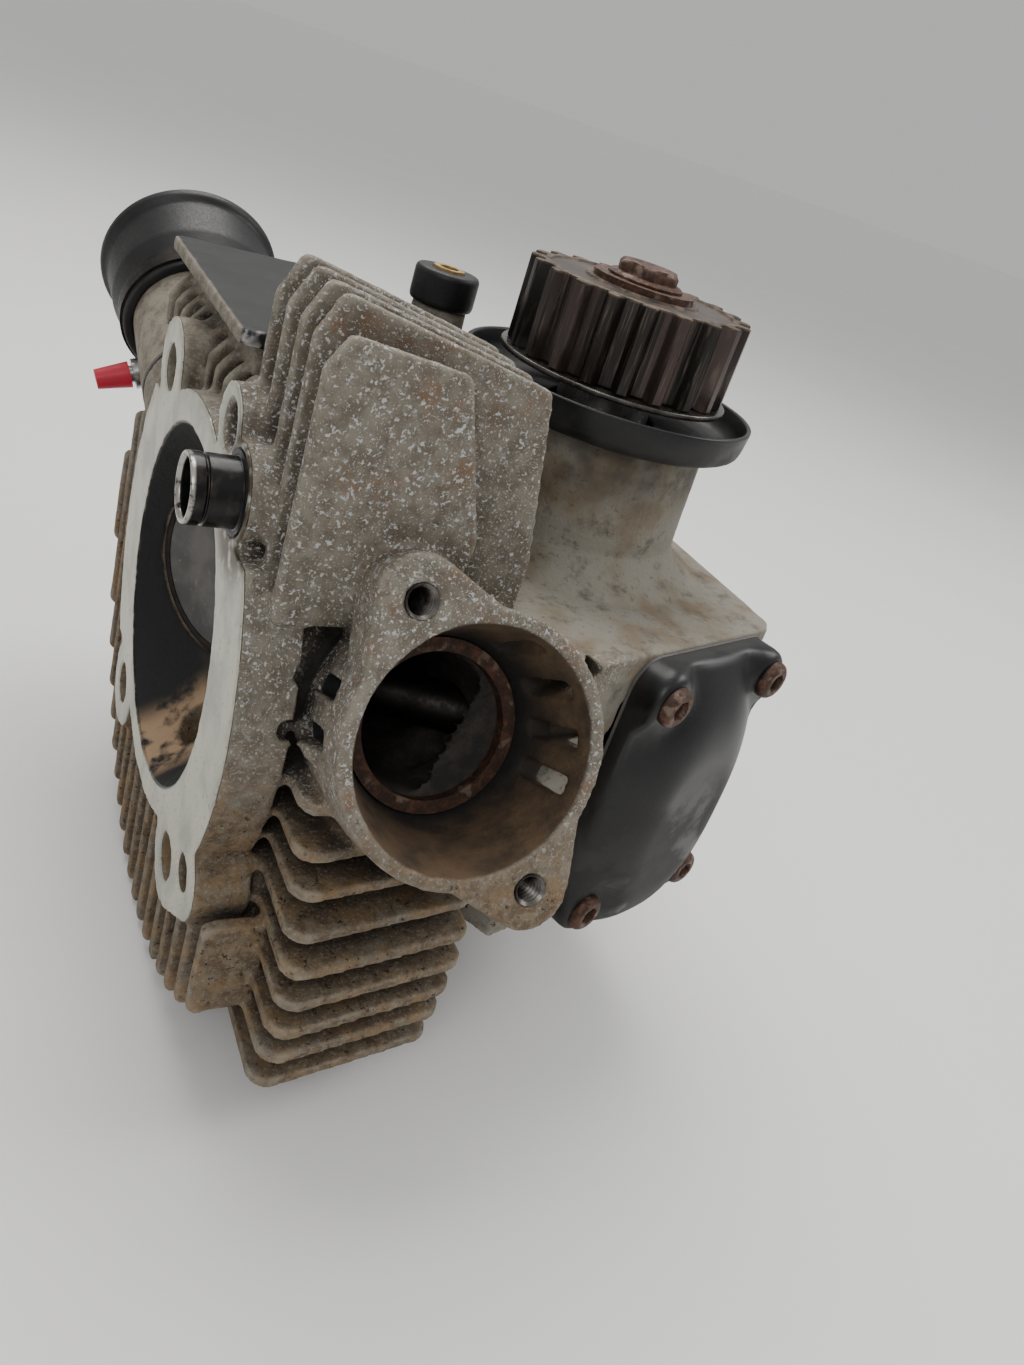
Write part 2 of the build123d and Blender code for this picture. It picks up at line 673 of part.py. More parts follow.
def closing_rocker(name):
    pivot = rocker_pivots(name)[1]
    tip = station(name, FORK_S)
    arm_end = station(name, FORK_S - 1.8)
    hub = upright(*pivot, level(name, -8, 23), HUB_R)
    fork = link(pivot, (arm_end.X, arm_end.Y), HUB_R - 2, (-8, 8), 1.8) + upright(tip.X, tip.Y, (-8, 8), 2.5)
    slot = stem_box(name, (FORK_S - 9, FORK_S + 9), (-6, 14), STEM_R + 0.6)
    cam_arm = link(pivot, mirrored(CLOSE_PAD, name), HUB_R - 2, level(name, 15, 23), PAD_R)
    return hub + (fork - slot) + cam_arm - upright(*pivot, (-30, 30), SHAFT_R + RUN_GAP)


def rocker_shaft(name, index):
    return upright(*rocker_pivots(name)[index], (-48, 30), SHAFT_R)


def closing_spring(name):
    """Coiled torsion spring round the closing rocker's shaft."""
    pivot = rocker_pivots(name)[1]
    low = level(name, -22, -10)[0]
    coil = Helix(pitch=2.4, height=9.6, radius=6.2)
    section = Plane(origin=coil @ 0, z_dir=coil % 0) * Circle(0.9)
    return Pos(*pivot, low + 1.2) * sweep(section, path=coil)


# --- camshaft and its bearings ---
def lobe(z_low, base_r, nose_r, angle):
    """Cam lobe: a base circle with a smaller circle pushed out to the nose."""
    tip_r = 5.0
    turn = math.radians(angle)
    nose = ((nose_r - tip_r) * math.cos(turn), (nose_r - tip_r) * math.sin(turn))
    outline = make_hull(Circle(base_r).edges() + (Pos(*nose) * Circle(tip_r)).edges())
    return Pos(CAM_X, 0, z_low) * extrude(outline, LOBE_W)


def camshaft():
    shaft = cam_disc((-55, -30), 10.0) + cam_disc((-31, 27), CAM_CORE_R) + cam_disc((26, 76), JOURNAL_R)
    shaft += cam_disc((75, 96), PULLEY_SEAT_R)
    shaft += [lobe(5, *OPEN_LOBE, 215), lobe(15, *CLOSE_LOBE, 20),
              lobe(-13, *OPEN_LOBE, 100), lobe(-23, *CLOSE_LOBE, 265)]
    return shaft - cam_disc((70, 97), 4.0) - pulley_key()


def bearing_balls():
    balls = []
    for index in range(10):
        turn = math.radians(36 * index)
        centre = (CAM_X + 19.5 * math.cos(turn), 19.5 * math.sin(turn), sum(BEARING_Z) / 2)
        balls.append(Pos(*centre) * Sphere(2.45))
    return balls


def cam_ring(z_range, outer, inner):
    return cam_disc(z_range, outer) - cam_disc(z_range, inner)


def end_cover():
    cover = cam_disc((-60, -56), 21.0)
    cover = fillet(cover.faces().sort_by(Axis.Z)[0].edges(), 1.2)
    cover -= cam_ring((-57.2, -56), 14.7, 13.4)
    return cover - [rod(*end_screw_line(angle, -61, -55), 2.7) for angle in END_SCREW_ANGLES]


def end_screws():
    screws = []
    for angle in END_SCREW_ANGLES:
        start, _ = end_screw_line(angle, -60, 0)
        place = Plane(origin=start, z_dir=(0, 0, -1))
        head = Cylinder(4.2, 3, align=FOOT)
        head = fillet(head.faces().sort_by(Axis.Z)[-1].edges(), 1.0)
        shank = Pos(0, 0, -12) * Cylinder(2.5, 12.5, align=FOOT)
        socket = Pos(0, 0, 1.3) * extrude(RegularPolygon(2.0, 6), 3)
        screws.append(place * (head + shank - socket))
    return screws


# --- pulley end ---
def pulley_key():
    return Pos(CAM_X + PULLEY_SEAT_R, 0, 86) * Box(4, 4, 14)


def pulley():
    low, high = PULLEY_Z
    wheel = cam_disc((low, high), PULLEY_R)
    root = PULLEY_R - TOOTH_DEPTH
    gap = [(root, -1.9), (PULLEY_R + 1, -2.9), (PULLEY_R + 1, 2.9), (root, 1.9)]
    groove = extrude(make_face(Polyline(*gap, close=True)), high - low + 2)
    grooves = [Pos(CAM_X, 0, low - 1) * Rot(0, 0, index * 360 / PULLEY_TEETH) * groove
               for index in range(PULLEY_TEETH)]
    return wheel - grooves - cam_disc((low - 1, high + 1), PULLEY_SEAT_R) - pulley_key()


def washer():
    return cam_ring((PULLEY_Z[1], PULLEY_Z[1] + 1.5), 13.0, 4.0)


def pulley_bolt():
    seat = PULLEY_Z[1] + 1.5
    head = Pos(CAM_X, 0, seat) * extrude(RegularPolygon(BOLT_HEAD_R, 6), BOLT_TOP - seat)
    crown = cam_disc((seat, BOLT_TOP), BOLT_HEAD_R + 2.0, BOLT_HEAD_R - 1.6)
    collar = cam_disc((seat, seat + 1.2), BOLT_HEAD_R + 1.5)
    return (head & crown) + collar + cam_disc((72, seat + 1), 4.0)


def dust_shield():
    low, high = DISH_Z
    outer = [(14.5, low), (29, low), (36.2, low + 2.6), (DISH_R - 0.8, low + 4.4), (DISH_R, high)]
    inner = [(DISH_R - 1.6, high), (DISH_R - 2.6, low + 5.2), (35, low + 3.6), (28, low + 2), (14.5, low + 2)]
    face = Plane.XZ * make_face(Polyline(*outer, *inner, close=True))
    return Pos(CAM_X, 0, 0) * revolve(face, Axis.Z)


# --- intake duct ---
def manifold_gasket():
    plate = intake_flange(IN_FACE_Y, -MANIFOLD_GASKET_T)
    plate -= rod(duct_point(-1), duct_point(MANIFOLD_GASKET_T + 1), IN_PORT_R)
    return plate - [rod(*intake_lug_line(sign, -1, 3), SCREW_R + 0.3) for sign in (-1, 1)]


def manifold():
    start = MANIFOLD_GASKET_T
    flange = Location(intake_direction() * start) * intake_flange(IN_FACE_Y, -6)
    pipe = rod(duct_point(start), duct_point(MANIFOLD_END), IN_STUB_R)
    body = flange + pipe - rod(duct_point(0), duct_point(MANIFOLD_END + 1), IN_PORT_R)
    root, tip = Vector(*NIPPLE_ROOT), Vector(*NIPPLE_TIP)
    out = (tip - root).normalized()
    body -= [rod(root - out * 8, tip, 2.5), rod(root + out * 1.5, tip, 4.4)]
    return body - [rod(*intake_lug_line(sign, 0, 10), SCREW_R + 0.3) for sign in (-1, 1)]


def manifold_screws():
    plane = intake_plane(IN_FACE_Y)
    screws = []
    for sign in (-1, 1):
        start, _ = intake_lug_line(sign, MANIFOLD_GASKET_T + 6, 0)
        screws.append(button_screw(Plane(origin=start, z_dir=plane.z_dir), 20))
    return screws


def boot():
    rim = (Vector(*BOOT_RIM) - duct_point(0)).length
    foot = rim - BOOT_LENGTH
    r = BOOT_RIM_R
    outer = [(IN_STUB_R, foot), (IN_STUB_R + 3, foot), (IN_STUB_R + 3, foot + 8), (r - 2.2, foot + 13),
             (r - 1.6, rim - 3), (r, rim - 2.6), (r, rim)]
    inner = [(r - 4.4, rim), (r - 4.4, foot + 14), (IN_STUB_R - 1, foot + 12), (IN_STUB_R - 1, MANIFOLD_END),
             (IN_STUB_R, MANIFOLD_END)]
    points = [duct_point(s) + Vector(radius, 0, 0) for radius, s in outer + inner]
    return revolve(make_face(Polyline(*points, close=True)), Axis(duct_point(0), intake_direction()))


def boot_clamp():
    rim = (Vector(*BOOT_RIM) - duct_point(0)).length
    low = rim - BOOT_LENGTH + 1.5
    return tube(duct_point(low), duct_point(low + 5.5), IN_STUB_R + 3.8, IN_STUB_R + 3)


def nipple():
    root, tip = Vector(*NIPPLE_ROOT), Vector(*NIPPLE_TIP)
    out = (tip - root).normalized()
    pipe = tube(root - out * 3, root + out * 12, 2.5, 1.2)
    return pipe + tube(root + out * 1.5, root + out * 5, 4.4, 1.2)


def nipple_cap():
    root, tip = Vector(*NIPPLE_ROOT), Vector(*NIPPLE_TIP)
    out = (tip - root).normalized()
    return rod(root + out * 6, root + out * 16, 3.9, 2.9) - rod(root + out * 5, root + out * 12, 2.5)


# --- loose pieces on the casting ---
def exhaust_ring():
    return tube(exhaust_point(EX_DEPTH), exhaust_point(EX_DEPTH - 3), EX_RING_R + 0.5, EX_PORT_R + 0.6)


def stud_sleeve():
    start, end = -SLEEVE_PROUD, SLEEVE_DEPTH
    bore, lip, groove = STUD_HOLE_R, SLEEVE_R - 0.4, SLEEVE_R - 0.35
    profile = [(bore, start + 0.8), (lip, start), (SLEEVE_R, start + 0.6), (SLEEVE_R, start + 3),
               (groove, start + 3), (groove, start + 3.6), (SLEEVE_R, start + 3.6),
               (SLEEVE_R, 0), (SLEEVE_SEAT_R, 0), (SLEEVE_SEAT_R, end), (bore, end)]
    points = [(x, -STUD_Y + radius, STUD_Z) for radius, x in profile]
    return revolve(make_face(Polyline(*points, close=True)), Axis((0, -STUD_Y, STUD_Z), (1, 0, 0)))


def sleeve_seal():
    """Ring round the sleeve, flush with the gasket face."""
    return tube((0, -STUD_Y, STUD_Z), (SEAL_RING_T, -STUD_Y, STUD_Z), SEAL_RING_R, SLEEVE_SEAT_R)


def cover_bush():
    return upright(67, 40, (76, 85), 8.75) - upright(67, 40, (75, 86), 4.2)


def cover_insert():
    return upright(67, 40, (76, 85.6), 4.2) - upright(67, 40, (75, 87), 2.6)


def pieces():
    """Every node's name and shape."""
    nodes = {"head_casting": head_casting()}
    for name in ("intake", "exhaust"):
        nodes[name + "_valve_seat"] = valve_seat(name)
        nodes[name + "_valve_guide"] = valve_guide(name)
        nodes[name + "_stem_seal"] = stem_seal(name)
        nodes[name + "_valve"] = valve(name)
        nodes[name + "_closing_collar"] = closing_collar(name)
        nodes[name + "_valve_cap"] = valve_cap(name)
        nodes[name + "_opening_rocker"] = opening_rocker(name)
        nodes[name + "_closing_rocker"] = closing_rocker(name)
        nodes[name + "_opening_rocker_shaft"] = rocker_shaft(name, 0)
        nodes[name + "_closing_rocker_shaft"] = rocker_shaft(name, 1)
        nodes[name + "_closing_spring"] = closing_spring(name)
        nodes[name + "_valve_cover"] = valve_cover(name)
        nodes[name + "_cover_gasket"] = cover_gasket(name)
        nodes[name + "_cover_screws"] = cover_screws(name)
    nodes["camshaft"] = camshaft()
    nodes["cam_bearing_outer_race"] = cam_ring(BEARING_Z, BEARING_R, 22.0)
    nodes["cam_bearing_inner_race"] = cam_ring(BEARING_Z, 17.0, JOURNAL_R)
    nodes["cam_bearing_balls"] = bearing_balls()
    nodes["cam_oil_seal"] = cam_ring(SEAL_Z, BEARING_R, JOURNAL_R + RUN_GAP)
    nodes["cam_rear_bush"] = cam_ring((-56, -44), 13.0, 10.0 + RUN_GAP)
    nodes["cam_end_cover"] = end_cover()
    nodes["cam_end_cover_o_ring"] = cam_ring((-57.2, -56), 14.7, 13.4)
    nodes["cam_end_cover_screws"] = end_screws()
    nodes["cam_pulley"] = pulley()
    nodes["pulley_guide_flange"] = cam_ring((76, PULLEY_Z[0]), PULLEY_R + 1.4, PULLEY_SEAT_R)
    nodes["pulley_key"] = pulley_key()
    nodes["pulley_washer"] = washer()
    nodes["pulley_bolt"] = pulley_bolt()
    nodes["belt_dust_shield"] = dust_shield()
    nodes["exhaust_gasket_ring"] = exhaust_ring()
    nodes["intake_manifold"] = manifold()
    nodes["intake_manifold_gasket"] = manifold_gasket()
    nodes["intake_manifold_screws"] = manifold_screws()
    nodes["intake_boot"] = boot()
    nodes["intake_boot_clamp"] = boot_clamp()
    nodes["vacuum_nipple"] = nipple()
    nodes["vacuum_nipple_cap"] = nipple_cap()
    nodes["stud_sleeve"] = stud_sleeve()
    nodes["stud_sleeve_seal"] = sleeve_seal()
    nodes["belt_cover_bush"] = cover_bush()
    nodes["belt_cover_bush_insert"] = cover_insert()
    return nodes


os.makedirs("parts", exist_ok=True)
for node, shape in pieces().items():
    solids = shape if isinstance(shape, list) else [shape]
    export_step(Compound(children=solids) if len(solids) > 1 else solids[0], f"parts/{node}.step")
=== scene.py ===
import json
import math

import bmesh
import bpy
from mathutils import Matrix, Vector

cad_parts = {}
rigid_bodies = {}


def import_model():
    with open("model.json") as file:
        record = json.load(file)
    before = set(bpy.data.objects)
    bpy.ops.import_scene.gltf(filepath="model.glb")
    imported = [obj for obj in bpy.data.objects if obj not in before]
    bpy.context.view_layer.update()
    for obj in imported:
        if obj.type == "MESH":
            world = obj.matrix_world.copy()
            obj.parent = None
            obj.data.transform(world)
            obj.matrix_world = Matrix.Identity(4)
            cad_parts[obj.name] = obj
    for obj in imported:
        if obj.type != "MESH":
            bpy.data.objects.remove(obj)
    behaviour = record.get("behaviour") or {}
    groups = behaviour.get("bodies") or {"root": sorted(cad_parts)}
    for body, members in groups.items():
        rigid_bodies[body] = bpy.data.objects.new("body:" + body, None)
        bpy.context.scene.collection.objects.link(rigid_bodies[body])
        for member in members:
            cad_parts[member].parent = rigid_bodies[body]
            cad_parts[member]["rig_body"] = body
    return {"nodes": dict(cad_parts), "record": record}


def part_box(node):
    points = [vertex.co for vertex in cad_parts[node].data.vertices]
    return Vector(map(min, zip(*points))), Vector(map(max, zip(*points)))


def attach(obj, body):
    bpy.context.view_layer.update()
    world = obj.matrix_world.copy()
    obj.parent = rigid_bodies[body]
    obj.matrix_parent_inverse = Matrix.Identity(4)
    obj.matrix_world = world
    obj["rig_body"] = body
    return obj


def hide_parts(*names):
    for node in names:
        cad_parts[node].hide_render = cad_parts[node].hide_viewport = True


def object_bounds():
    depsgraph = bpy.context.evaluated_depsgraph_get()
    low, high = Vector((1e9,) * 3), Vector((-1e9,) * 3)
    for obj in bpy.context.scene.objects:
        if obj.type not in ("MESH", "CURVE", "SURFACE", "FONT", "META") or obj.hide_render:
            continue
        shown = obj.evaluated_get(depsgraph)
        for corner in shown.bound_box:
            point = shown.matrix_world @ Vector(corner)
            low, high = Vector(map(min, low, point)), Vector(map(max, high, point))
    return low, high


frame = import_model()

CAD_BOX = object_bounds()
MM = 0.001

# --- places on the part, in mm, in the row frame ---
CAM_X = 100.6
DOME_X, DOME_R = -22.35, 49.35
COLLAR_MOUTH = (45.4, -82.8, 16.3)
COLLAR_NORMAL = (-0.0228, -0.9325, 0.3605)
COLLAR_R = 26.9
PANEL_Z = 65.8
PANEL_X = 57.0
PANEL_Y = -4.0
HOUSING_X = 64.0
PULLEY_TEETH = 20
PULLEY_R, PULLEY_ROOT_R, PULLEY_BORE_R = 28.8, 25.6, 11.0
TOOTH_STEPS = 16
TOOTH_FLAT, TOOTH_FLANK = 0.30, 0.26
SEAM_A, SEAM_B, COVER_Z = (90.0, 65.4), (142.6, 47.2), (-50.0, 30.0)
COVER_HALF_X = math.dist(SEAM_A, SEAM_B) / 2
COVER_HALF_Y = (COVER_Z[1] - COVER_Z[0]) / 2
COVER_FOOT, COVER_TOP, COVER_WALL = 0.8, 14.4, 2.8
COVER_SIDE, COVER_LEAN, COVER_SQUARENESS, COVER_RISE = 5.2, 5.0, 2.6, 1.75
COVER_CORNER_R, COVER_MARGIN = 7.9, 0.1
COVER_HOLLOW = (24.4, 33.9, 6.0)
COVER_OUTER_RINGS, COVER_INNER_RINGS = 32, 14
COVER_SCREWS = [(x, y) for x in (-21.5, 21.5) for y in (-32.0, 32.0)]
COVER_PAD = 9.0
PAD_REACH, PAD_BLEND = 11.0, 5.2
SCREW_HEAD_R, SCREW_HEAD_H, SCREW_RIM_H = 5.25, 2.5, 0.7
SCREW_DOME_TURN = 62
COLLAR_ACROSS = (0.9997, -0.0244, 0.0)
EAR_ANGLE, EAR_SPAN, THREAD_R = 119.2, 34.0, 3.42
THREAD_PITCH, THREAD_TURNS, THREAD_DEPTH, THREAD_SIDES = 1.25, 13, 0.62, 48
SLEEVE_TIP = (-10.0, -37.7, 47.1)
DUCT_RIM = (20.5, 130.1, 52.0)
DUCT_NORMAL = (0.0, 0.9328, 0.3605)
BUSH_AT = (67.0, 40.0)
PORT_OUT, PORT_R = (-52.0, -26.0), 19.0
Z_AXIS = (0, 0, 1)

# --- closed outlines of the turned pieces, as (radius, height) in mm ---
GUIDE_FLANGE = [(11.0, 76.0), (30.2, 76.0), (30.2, 77.4), (11.0, 77.4)]
DISH = [(14.5, 66.0), (34.6, 66.0), (37.6, 67.6), (38.2, 70.2), (38.6, 75.0), (37.4, 75.0), (36.8, 70.6),
        (35.4, 68.4), (33.0, 67.6), (14.5, 67.6)]
SLEEVE = [(5.75, 0.6), (6.5, 0.0), (7.0, 0.0), (7.2, 0.7), (7.2, 3.0), (6.8, 3.2), (6.8, 3.5), (7.2, 3.7),
          (7.2, 10.0), (7.58, 10.1), (7.58, 21.9), (5.75, 21.9)]
BOOT = [(19.5, 30.0), (22.5, 30.0), (22.6, 22.0), (24.6, 17.0), (25.2, 4.0), (26.9, 2.6), (26.9, 0.4),
        (26.5, 0.0), (23.2, 0.0), (22.6, 1.0), (22.5, 16.0), (18.5, 18.0), (18.5, 22.9), (19.5, 23.0)]
BUSH = [(4.2, 76.0), (8.4, 76.0), (8.75, 77.0), (8.75, 84.0), (8.2, 85.0), (4.2, 85.0)]

# --- studio ---
FLOOR_DROP = 0.2
ROOM = 0.55

# --- colours, as linear RGB ---
ALLOY = (0.118, 0.099, 0.075)
ALLOY_PALE = (0.200, 0.178, 0.142)
ALLOY_SMOOTH = (0.215, 0.200, 0.165)
OXIDE = (0.44, 0.44, 0.425)
EARTH = (0.092, 0.060, 0.033)
DARK_EARTH_AND_SHADE = (0.020, 0.014, 0.009)
TAN = (0.165, 0.128, 0.084)
DECK = (0.480, 0.470, 0.390)
SOOT = (0.010, 0.010, 0.010)
SOOT_BROWN = (0.050, 0.034, 0.022)
BLACK = (0.0045, 0.0045, 0.005)
DUST_AND_SHEEN = (0.050, 0.047, 0.043)
RUST = (0.105, 0.045, 0.024)
RUST_DARK = (0.040, 0.021, 0.014)
STEEL = (0.42, 0.41, 0.40)
STEEL_DARK = (0.055, 0.048, 0.043)
BRASS = (0.60, 0.42, 0.17)
BRONZE = (0.50, 0.34, 0.16)
RED = (0.42, 0.010, 0.030)


class Paint:
    """One material. Sizes and places are in mm; a value is a node's output or a plain number or colour."""

    def __init__(self, name):
        self.material = bpy.data.materials.new(name)
        self.material.use_nodes = True
        self.tree = self.material.node_tree
        self.shader = self.tree.nodes["Principled BSDF"]
        coordinates = self.tree.nodes.new("ShaderNodeTexCoord")
        self.place = self.vector("SCALE", coordinates.outputs["Object"], scale=1 / MM)
        self.facing = coordinates.outputs["Normal"]
        self.x, self.y, self.z = self.split(self.place)

    def feed(self, socket, value):
        if isinstance(value, bpy.types.NodeSocket):
            self.tree.links.new(value, socket)
        elif isinstance(value, tuple) and len(value) == 3 and len(socket.default_value) == 4:
            socket.default_value = (*value, 1.0)
        else:
            socket.default_value = value

    def node(self, kind, **settings):
        made = self.tree.nodes.new("ShaderNode" + kind)
        for name, value in settings.items():
            setattr(made, name, value)
        return made

    def vector(self, operation, a, b=None, scale=None):
        made = self.node("VectorMath", operation=operation)
        self.feed(made.inputs[0], a)
        if b is not None:
            self.feed(made.inputs[1], b)
        if scale is not None:
            self.feed(made.inputs["Scale"], scale)
        return made.outputs["Value" if operation in ("LENGTH", "DOT_PRODUCT") else "Vector"]

    def split(self, vector):
        made = self.node("SeparateXYZ")
        self.feed(made.inputs[0], vector)
        return made.outputs

    def join(self, x, y, z):
        made = self.node("CombineXYZ")
        for socket, value in zip(made.inputs, (x, y, z)):
            self.feed(socket, value)
        return made.outputs[0]

    def sum(self, operation, a, b=0.0):
        made = self.node("Math", operation=operation)
        self.feed(made.inputs[0], a)
        self.feed(made.inputs[1], b)
        return made.outputs[0]

    def times(self, *values):
        result = values[0]
        for value in values[1:]:
            result = self.sum("MULTIPLY", result, value)
        return result

    def band(self, value, low, high, bottom=0.0, top=1.0):
        """Rises smoothly from bottom at low to top at high."""
        made = self.node("MapRange", interpolation_type="SMOOTHSTEP")
        limits = {"Value": value, "From Min": low, "From Max": high, "To Min": bottom, "To Max": top}
        for name, number in limits.items():
            self.feed(made.inputs[name], number)
        return made.outputs["Result"]

    def noise(self, size, detail=3.0, rough=0.55, warp=0.0, place=None):
        made = self.node("TexNoise")
        self.feed(made.inputs["Vector"], place or self.place)
        settings = {"Scale": 1 / size, "Detail": detail, "Roughness": rough, "Distortion": warp}
        for name, number in settings.items():
            made.inputs[name].default_value = number
        return made.outputs["Fac"]

    def spots(self, size, low, high, **kind):
        return self.band(self.noise(size, **kind), low, high)

    def mix(self, share, a, b):
        made = self.node("Mix", data_type="RGBA")
        self.feed(made.inputs[0], share)
        self.feed(made.inputs[6], a)
        self.feed(made.inputs[7], b)
        return made.outputs[2]

    def corners(self, low=0.515, high=0.56):
        """1 on outer edges of a dense mesh."""
        made = self.node("NewGeometry")
        return self.band(made.outputs["Pointiness"], low, high)

    def corner_shade(self, reach, low=0.9, high=0.35):
        """Ambient occlusion: 1 deep in corners narrower than the reach, where shade falls; used to paint
        shade.
        """
        made = self.node("AmbientOcclusion", samples=6, only_local=True)
        made.inputs["Distance"].default_value = reach * MM
        return self.band(made.outputs["AO"], low, high)

    def bump(self, *layers):
        """Each layer is (height, depth in mm)."""
        normal = None
        for height, depth in layers:
            made = self.node("Bump")
            self.feed(made.inputs["Height"], height)
            made.inputs["Distance"].default_value = depth * MM
            if normal is not None:
                self.feed(made.inputs["Normal"], normal)
            normal = made.outputs["Normal"]
        self.tree.links.new(normal, self.shader.inputs["Normal"])

    def finish(self, colour, roughness, metallic=0.0, **others):
        self.feed(self.shader.inputs["Base Color"], colour)
        self.feed(self.shader.inputs["Roughness"], roughness)
        self.feed(self.shader.inputs["Metallic"], metallic)
        for name, value in others.items():
            self.feed(self.shader.inputs[name.replace("_", " ").title()], value)
        return self.material


# --- materials ---
def cast_alloy():
    """The casting: weathered cast surface with painted shade in its corners and under the dust dish and
    painted highlights on its edges, machined joint face, sooty chamber and ports, painted panel.
    """
    p = Paint("cast_alloy")
    from_mouth = p.vector("SUBTRACT", p.place, COLLAR_MOUTH)
    out = p.vector("DOT_PRODUCT", from_mouth, COLLAR_NORMAL)
    along_axis = p.vector("SCALE", COLLAR_NORMAL, scale=out)
    off_axis = p.vector("LENGTH", p.vector("SUBTRACT", from_mouth, along_axis))
    from_dome = p.vector("LENGTH", p.vector("SUBTRACT", p.place, (DOME_X, 0.0, 0.0)))
    radius = p.vector("LENGTH", p.join(0.0, p.y, p.z))
    broad = p.noise(22.0, detail=4, rough=0.6)

    # Weathering: white oxide flecks on the upper exhaust side, earth on the lower fins. Also painted shade
    # deep in corners and between fins, a painted shadow under the dust dish and painted highlights on the
    # edges.
    high = p.times(p.band(p.z, -14.0, 22.0), p.band(p.y, 10.0, -24.0))
    low = p.band(p.z, 10.0, -20.0)
    smooth_zone = p.times(p.band(p.x, HOUSING_X - 4, HOUSING_X + 6), p.band(out, -8.0, -14.0))
    rough_zone = p.sum("SUBTRACT", 1.0, smooth_zone)
    flecks = p.spots(0.95, 0.580, 0.625, detail=3, rough=0.6)
    small = p.spots(0.5, 0.62, 0.68, detail=1, rough=0.5)
    crust = p.times(p.spots(1.5, 0.55, 0.63, detail=5, rough=0.7), p.spots(10.0, 0.50, 0.66, detail=3))
    flecked = p.sum("MAXIMUM", p.sum("MAXIMUM", flecks, p.times(small, 0.6)), p.times(crust, 0.8))
    oxide = p.times(flecked, rough_zone, p.sum("ADD", p.times(high, 0.82), 0.16))
    corner_shade = p.corner_shade(11.0)
    colour = p.mix(p.spots(4.0, 0.35, 0.65, detail=6, rough=0.65), ALLOY, ALLOY_PALE)
    stains_and_shadow = p.mix(p.spots(16.0, 0.45, 0.68, detail=4), ALLOY_SMOOTH, TAN)
    stains_and_shadow = p.mix(p.spots(7.0, 0.50, 0.72, detail=5, rough=0.7), stains_and_shadow, (0.105, 0.090, 0.070))
    # Painted shadow: the neck darkens in blotches just under the dust dish.
    shaded = p.band(p.z, 46.0, 62.0)
    stains_and_shadow = p.mix(p.times(shaded, p.spots(12.0, 0.30, 0.60), 0.8), stains_and_shadow, (0.050, 0.040, 0.032))
    colour = p.mix(smooth_zone, colour, stains_and_shadow)
    earth = p.mix(p.spots(2.6, 0.4, 0.62, detail=6, rough=0.65), EARTH, TAN)
    # Earth on the lower fins, and earth-brown painted shade in corners and between fins.
    earth_and_shade_share = p.sum("MAXIMUM", p.times(low, p.band(broad, 0.28, 0.50)), p.times(corner_shade, 0.5))
    colour = p.mix(p.times(earth_and_shade_share, rough_zone, 0.9), colour, earth)
    sand = p.times(low, rough_zone, p.spots(7.0, 0.46, 0.62, detail=5, rough=0.65))
    colour = p.mix(p.times(sand, 0.75), colour, (0.200, 0.128, 0.062))
    pits = p.spots(1.8, 0.60, 0.65, detail=4, rough=0.7)
    colour = p.mix(p.times(pits, p.sum("ADD", p.times(low, 0.6), 0.35)), colour, DARK_EARTH_AND_SHADE)
    # Painted shade: near black deep in corners and between fins.
    colour = p.mix(p.times(p.corner_shade(9.0, 0.74, 0.30), 0.93), colour, DARK_EARTH_AND_SHADE)
    rusty_film = p.times(p.spots(9.0, 0.52, 0.66, detail=5, rough=0.7), p.band(out, -14.0, -4.0), 0.55)
    colour = p.mix(p.times(rusty_film, rough_zone), colour, (0.165, 0.085, 0.040))
    colour = p.mix(oxide, colour, OXIDE)
    # Outer edges lighter in patches: partly worn metal, partly painted highlight.
    worn = p.times(p.corners(), p.spots(5.0, 0.35, 0.6))
    colour = p.mix(p.times(worn, 0.6), colour, (0.27, 0.24, 0.19))

    # Joint face: bright, turned, with grey stains and darker rings where the gasket's beads sat.
    deck = p.band(p.x, 0.75, 0.45)
    rings = p.noise(1.0, detail=2, place=p.join(p.times(radius, 1.6), 0.0, 0.0))
    deck_colour = p.mix(p.spots(14.0, 0.42, 0.66), DECK, (0.34, 0.34, 0.29))
    deck_colour = p.mix(p.times(p.band(rings, 0.45, 0.7), 0.35), deck_colour, (0.26, 0.26, 0.22))
    from_sleeve = p.vector("LENGTH", p.join(0.0, p.sum("ADD", p.y, 40.0), p.sum("SUBTRACT", p.z, 46.0)))
    soiled = p.times(p.band(from_sleeve, 19.0, 11.0), p.spots(4.0, 0.30, 0.50, detail=4))
    deck_colour = p.mix(soiled, deck_colour, (0.075, 0.055, 0.038))
    deck_colour = p.mix(p.times(pits, 0.6), deck_colour, (0.13, 0.11, 0.08))
    colour = p.mix(deck, colour, deck_colour)

    # Burnt surfaces.
    chamber = p.band(from_dome, DOME_R + 0.7, DOME_R + 0.2)
    low_patch = p.times(p.band(p.z, -13.0, -22.0), p.band(p.sum("ABSOLUTE", p.y), 17.0, 7.0))
    chamber_colour = p.mix(p.times(low_patch, p.spots(6.0, 0.36, 0.58, detail=5)), SOOT, (0.30, 0.20, 0.12))
    colour = p.mix(chamber, colour, chamber_colour)
    inside = p.times(p.band(off_axis, COLLAR_R + 0.5, COLLAR_R + 0.1), p.band(out, -0.2, -1.2))
    deep = p.band(out, -6.0, -24.0)
    inside_colour = p.mix(deep, p.mix(p.spots(7.0, 0.35, 0.65, detail=5), EARTH, SOOT_BROWN), SOOT)
    rusty = p.times(p.band(p.z, 12.0, -8.0), p.spots(8.0, 0.4, 0.6))
    rusty = p.times(rusty, p.band(out, -24.0, -14.0), 0.35)
    inside_colour = p.mix(rusty, inside_colour, (0.15, 0.088, 0.048))
    colour = p.mix(inside, colour, inside_colour)

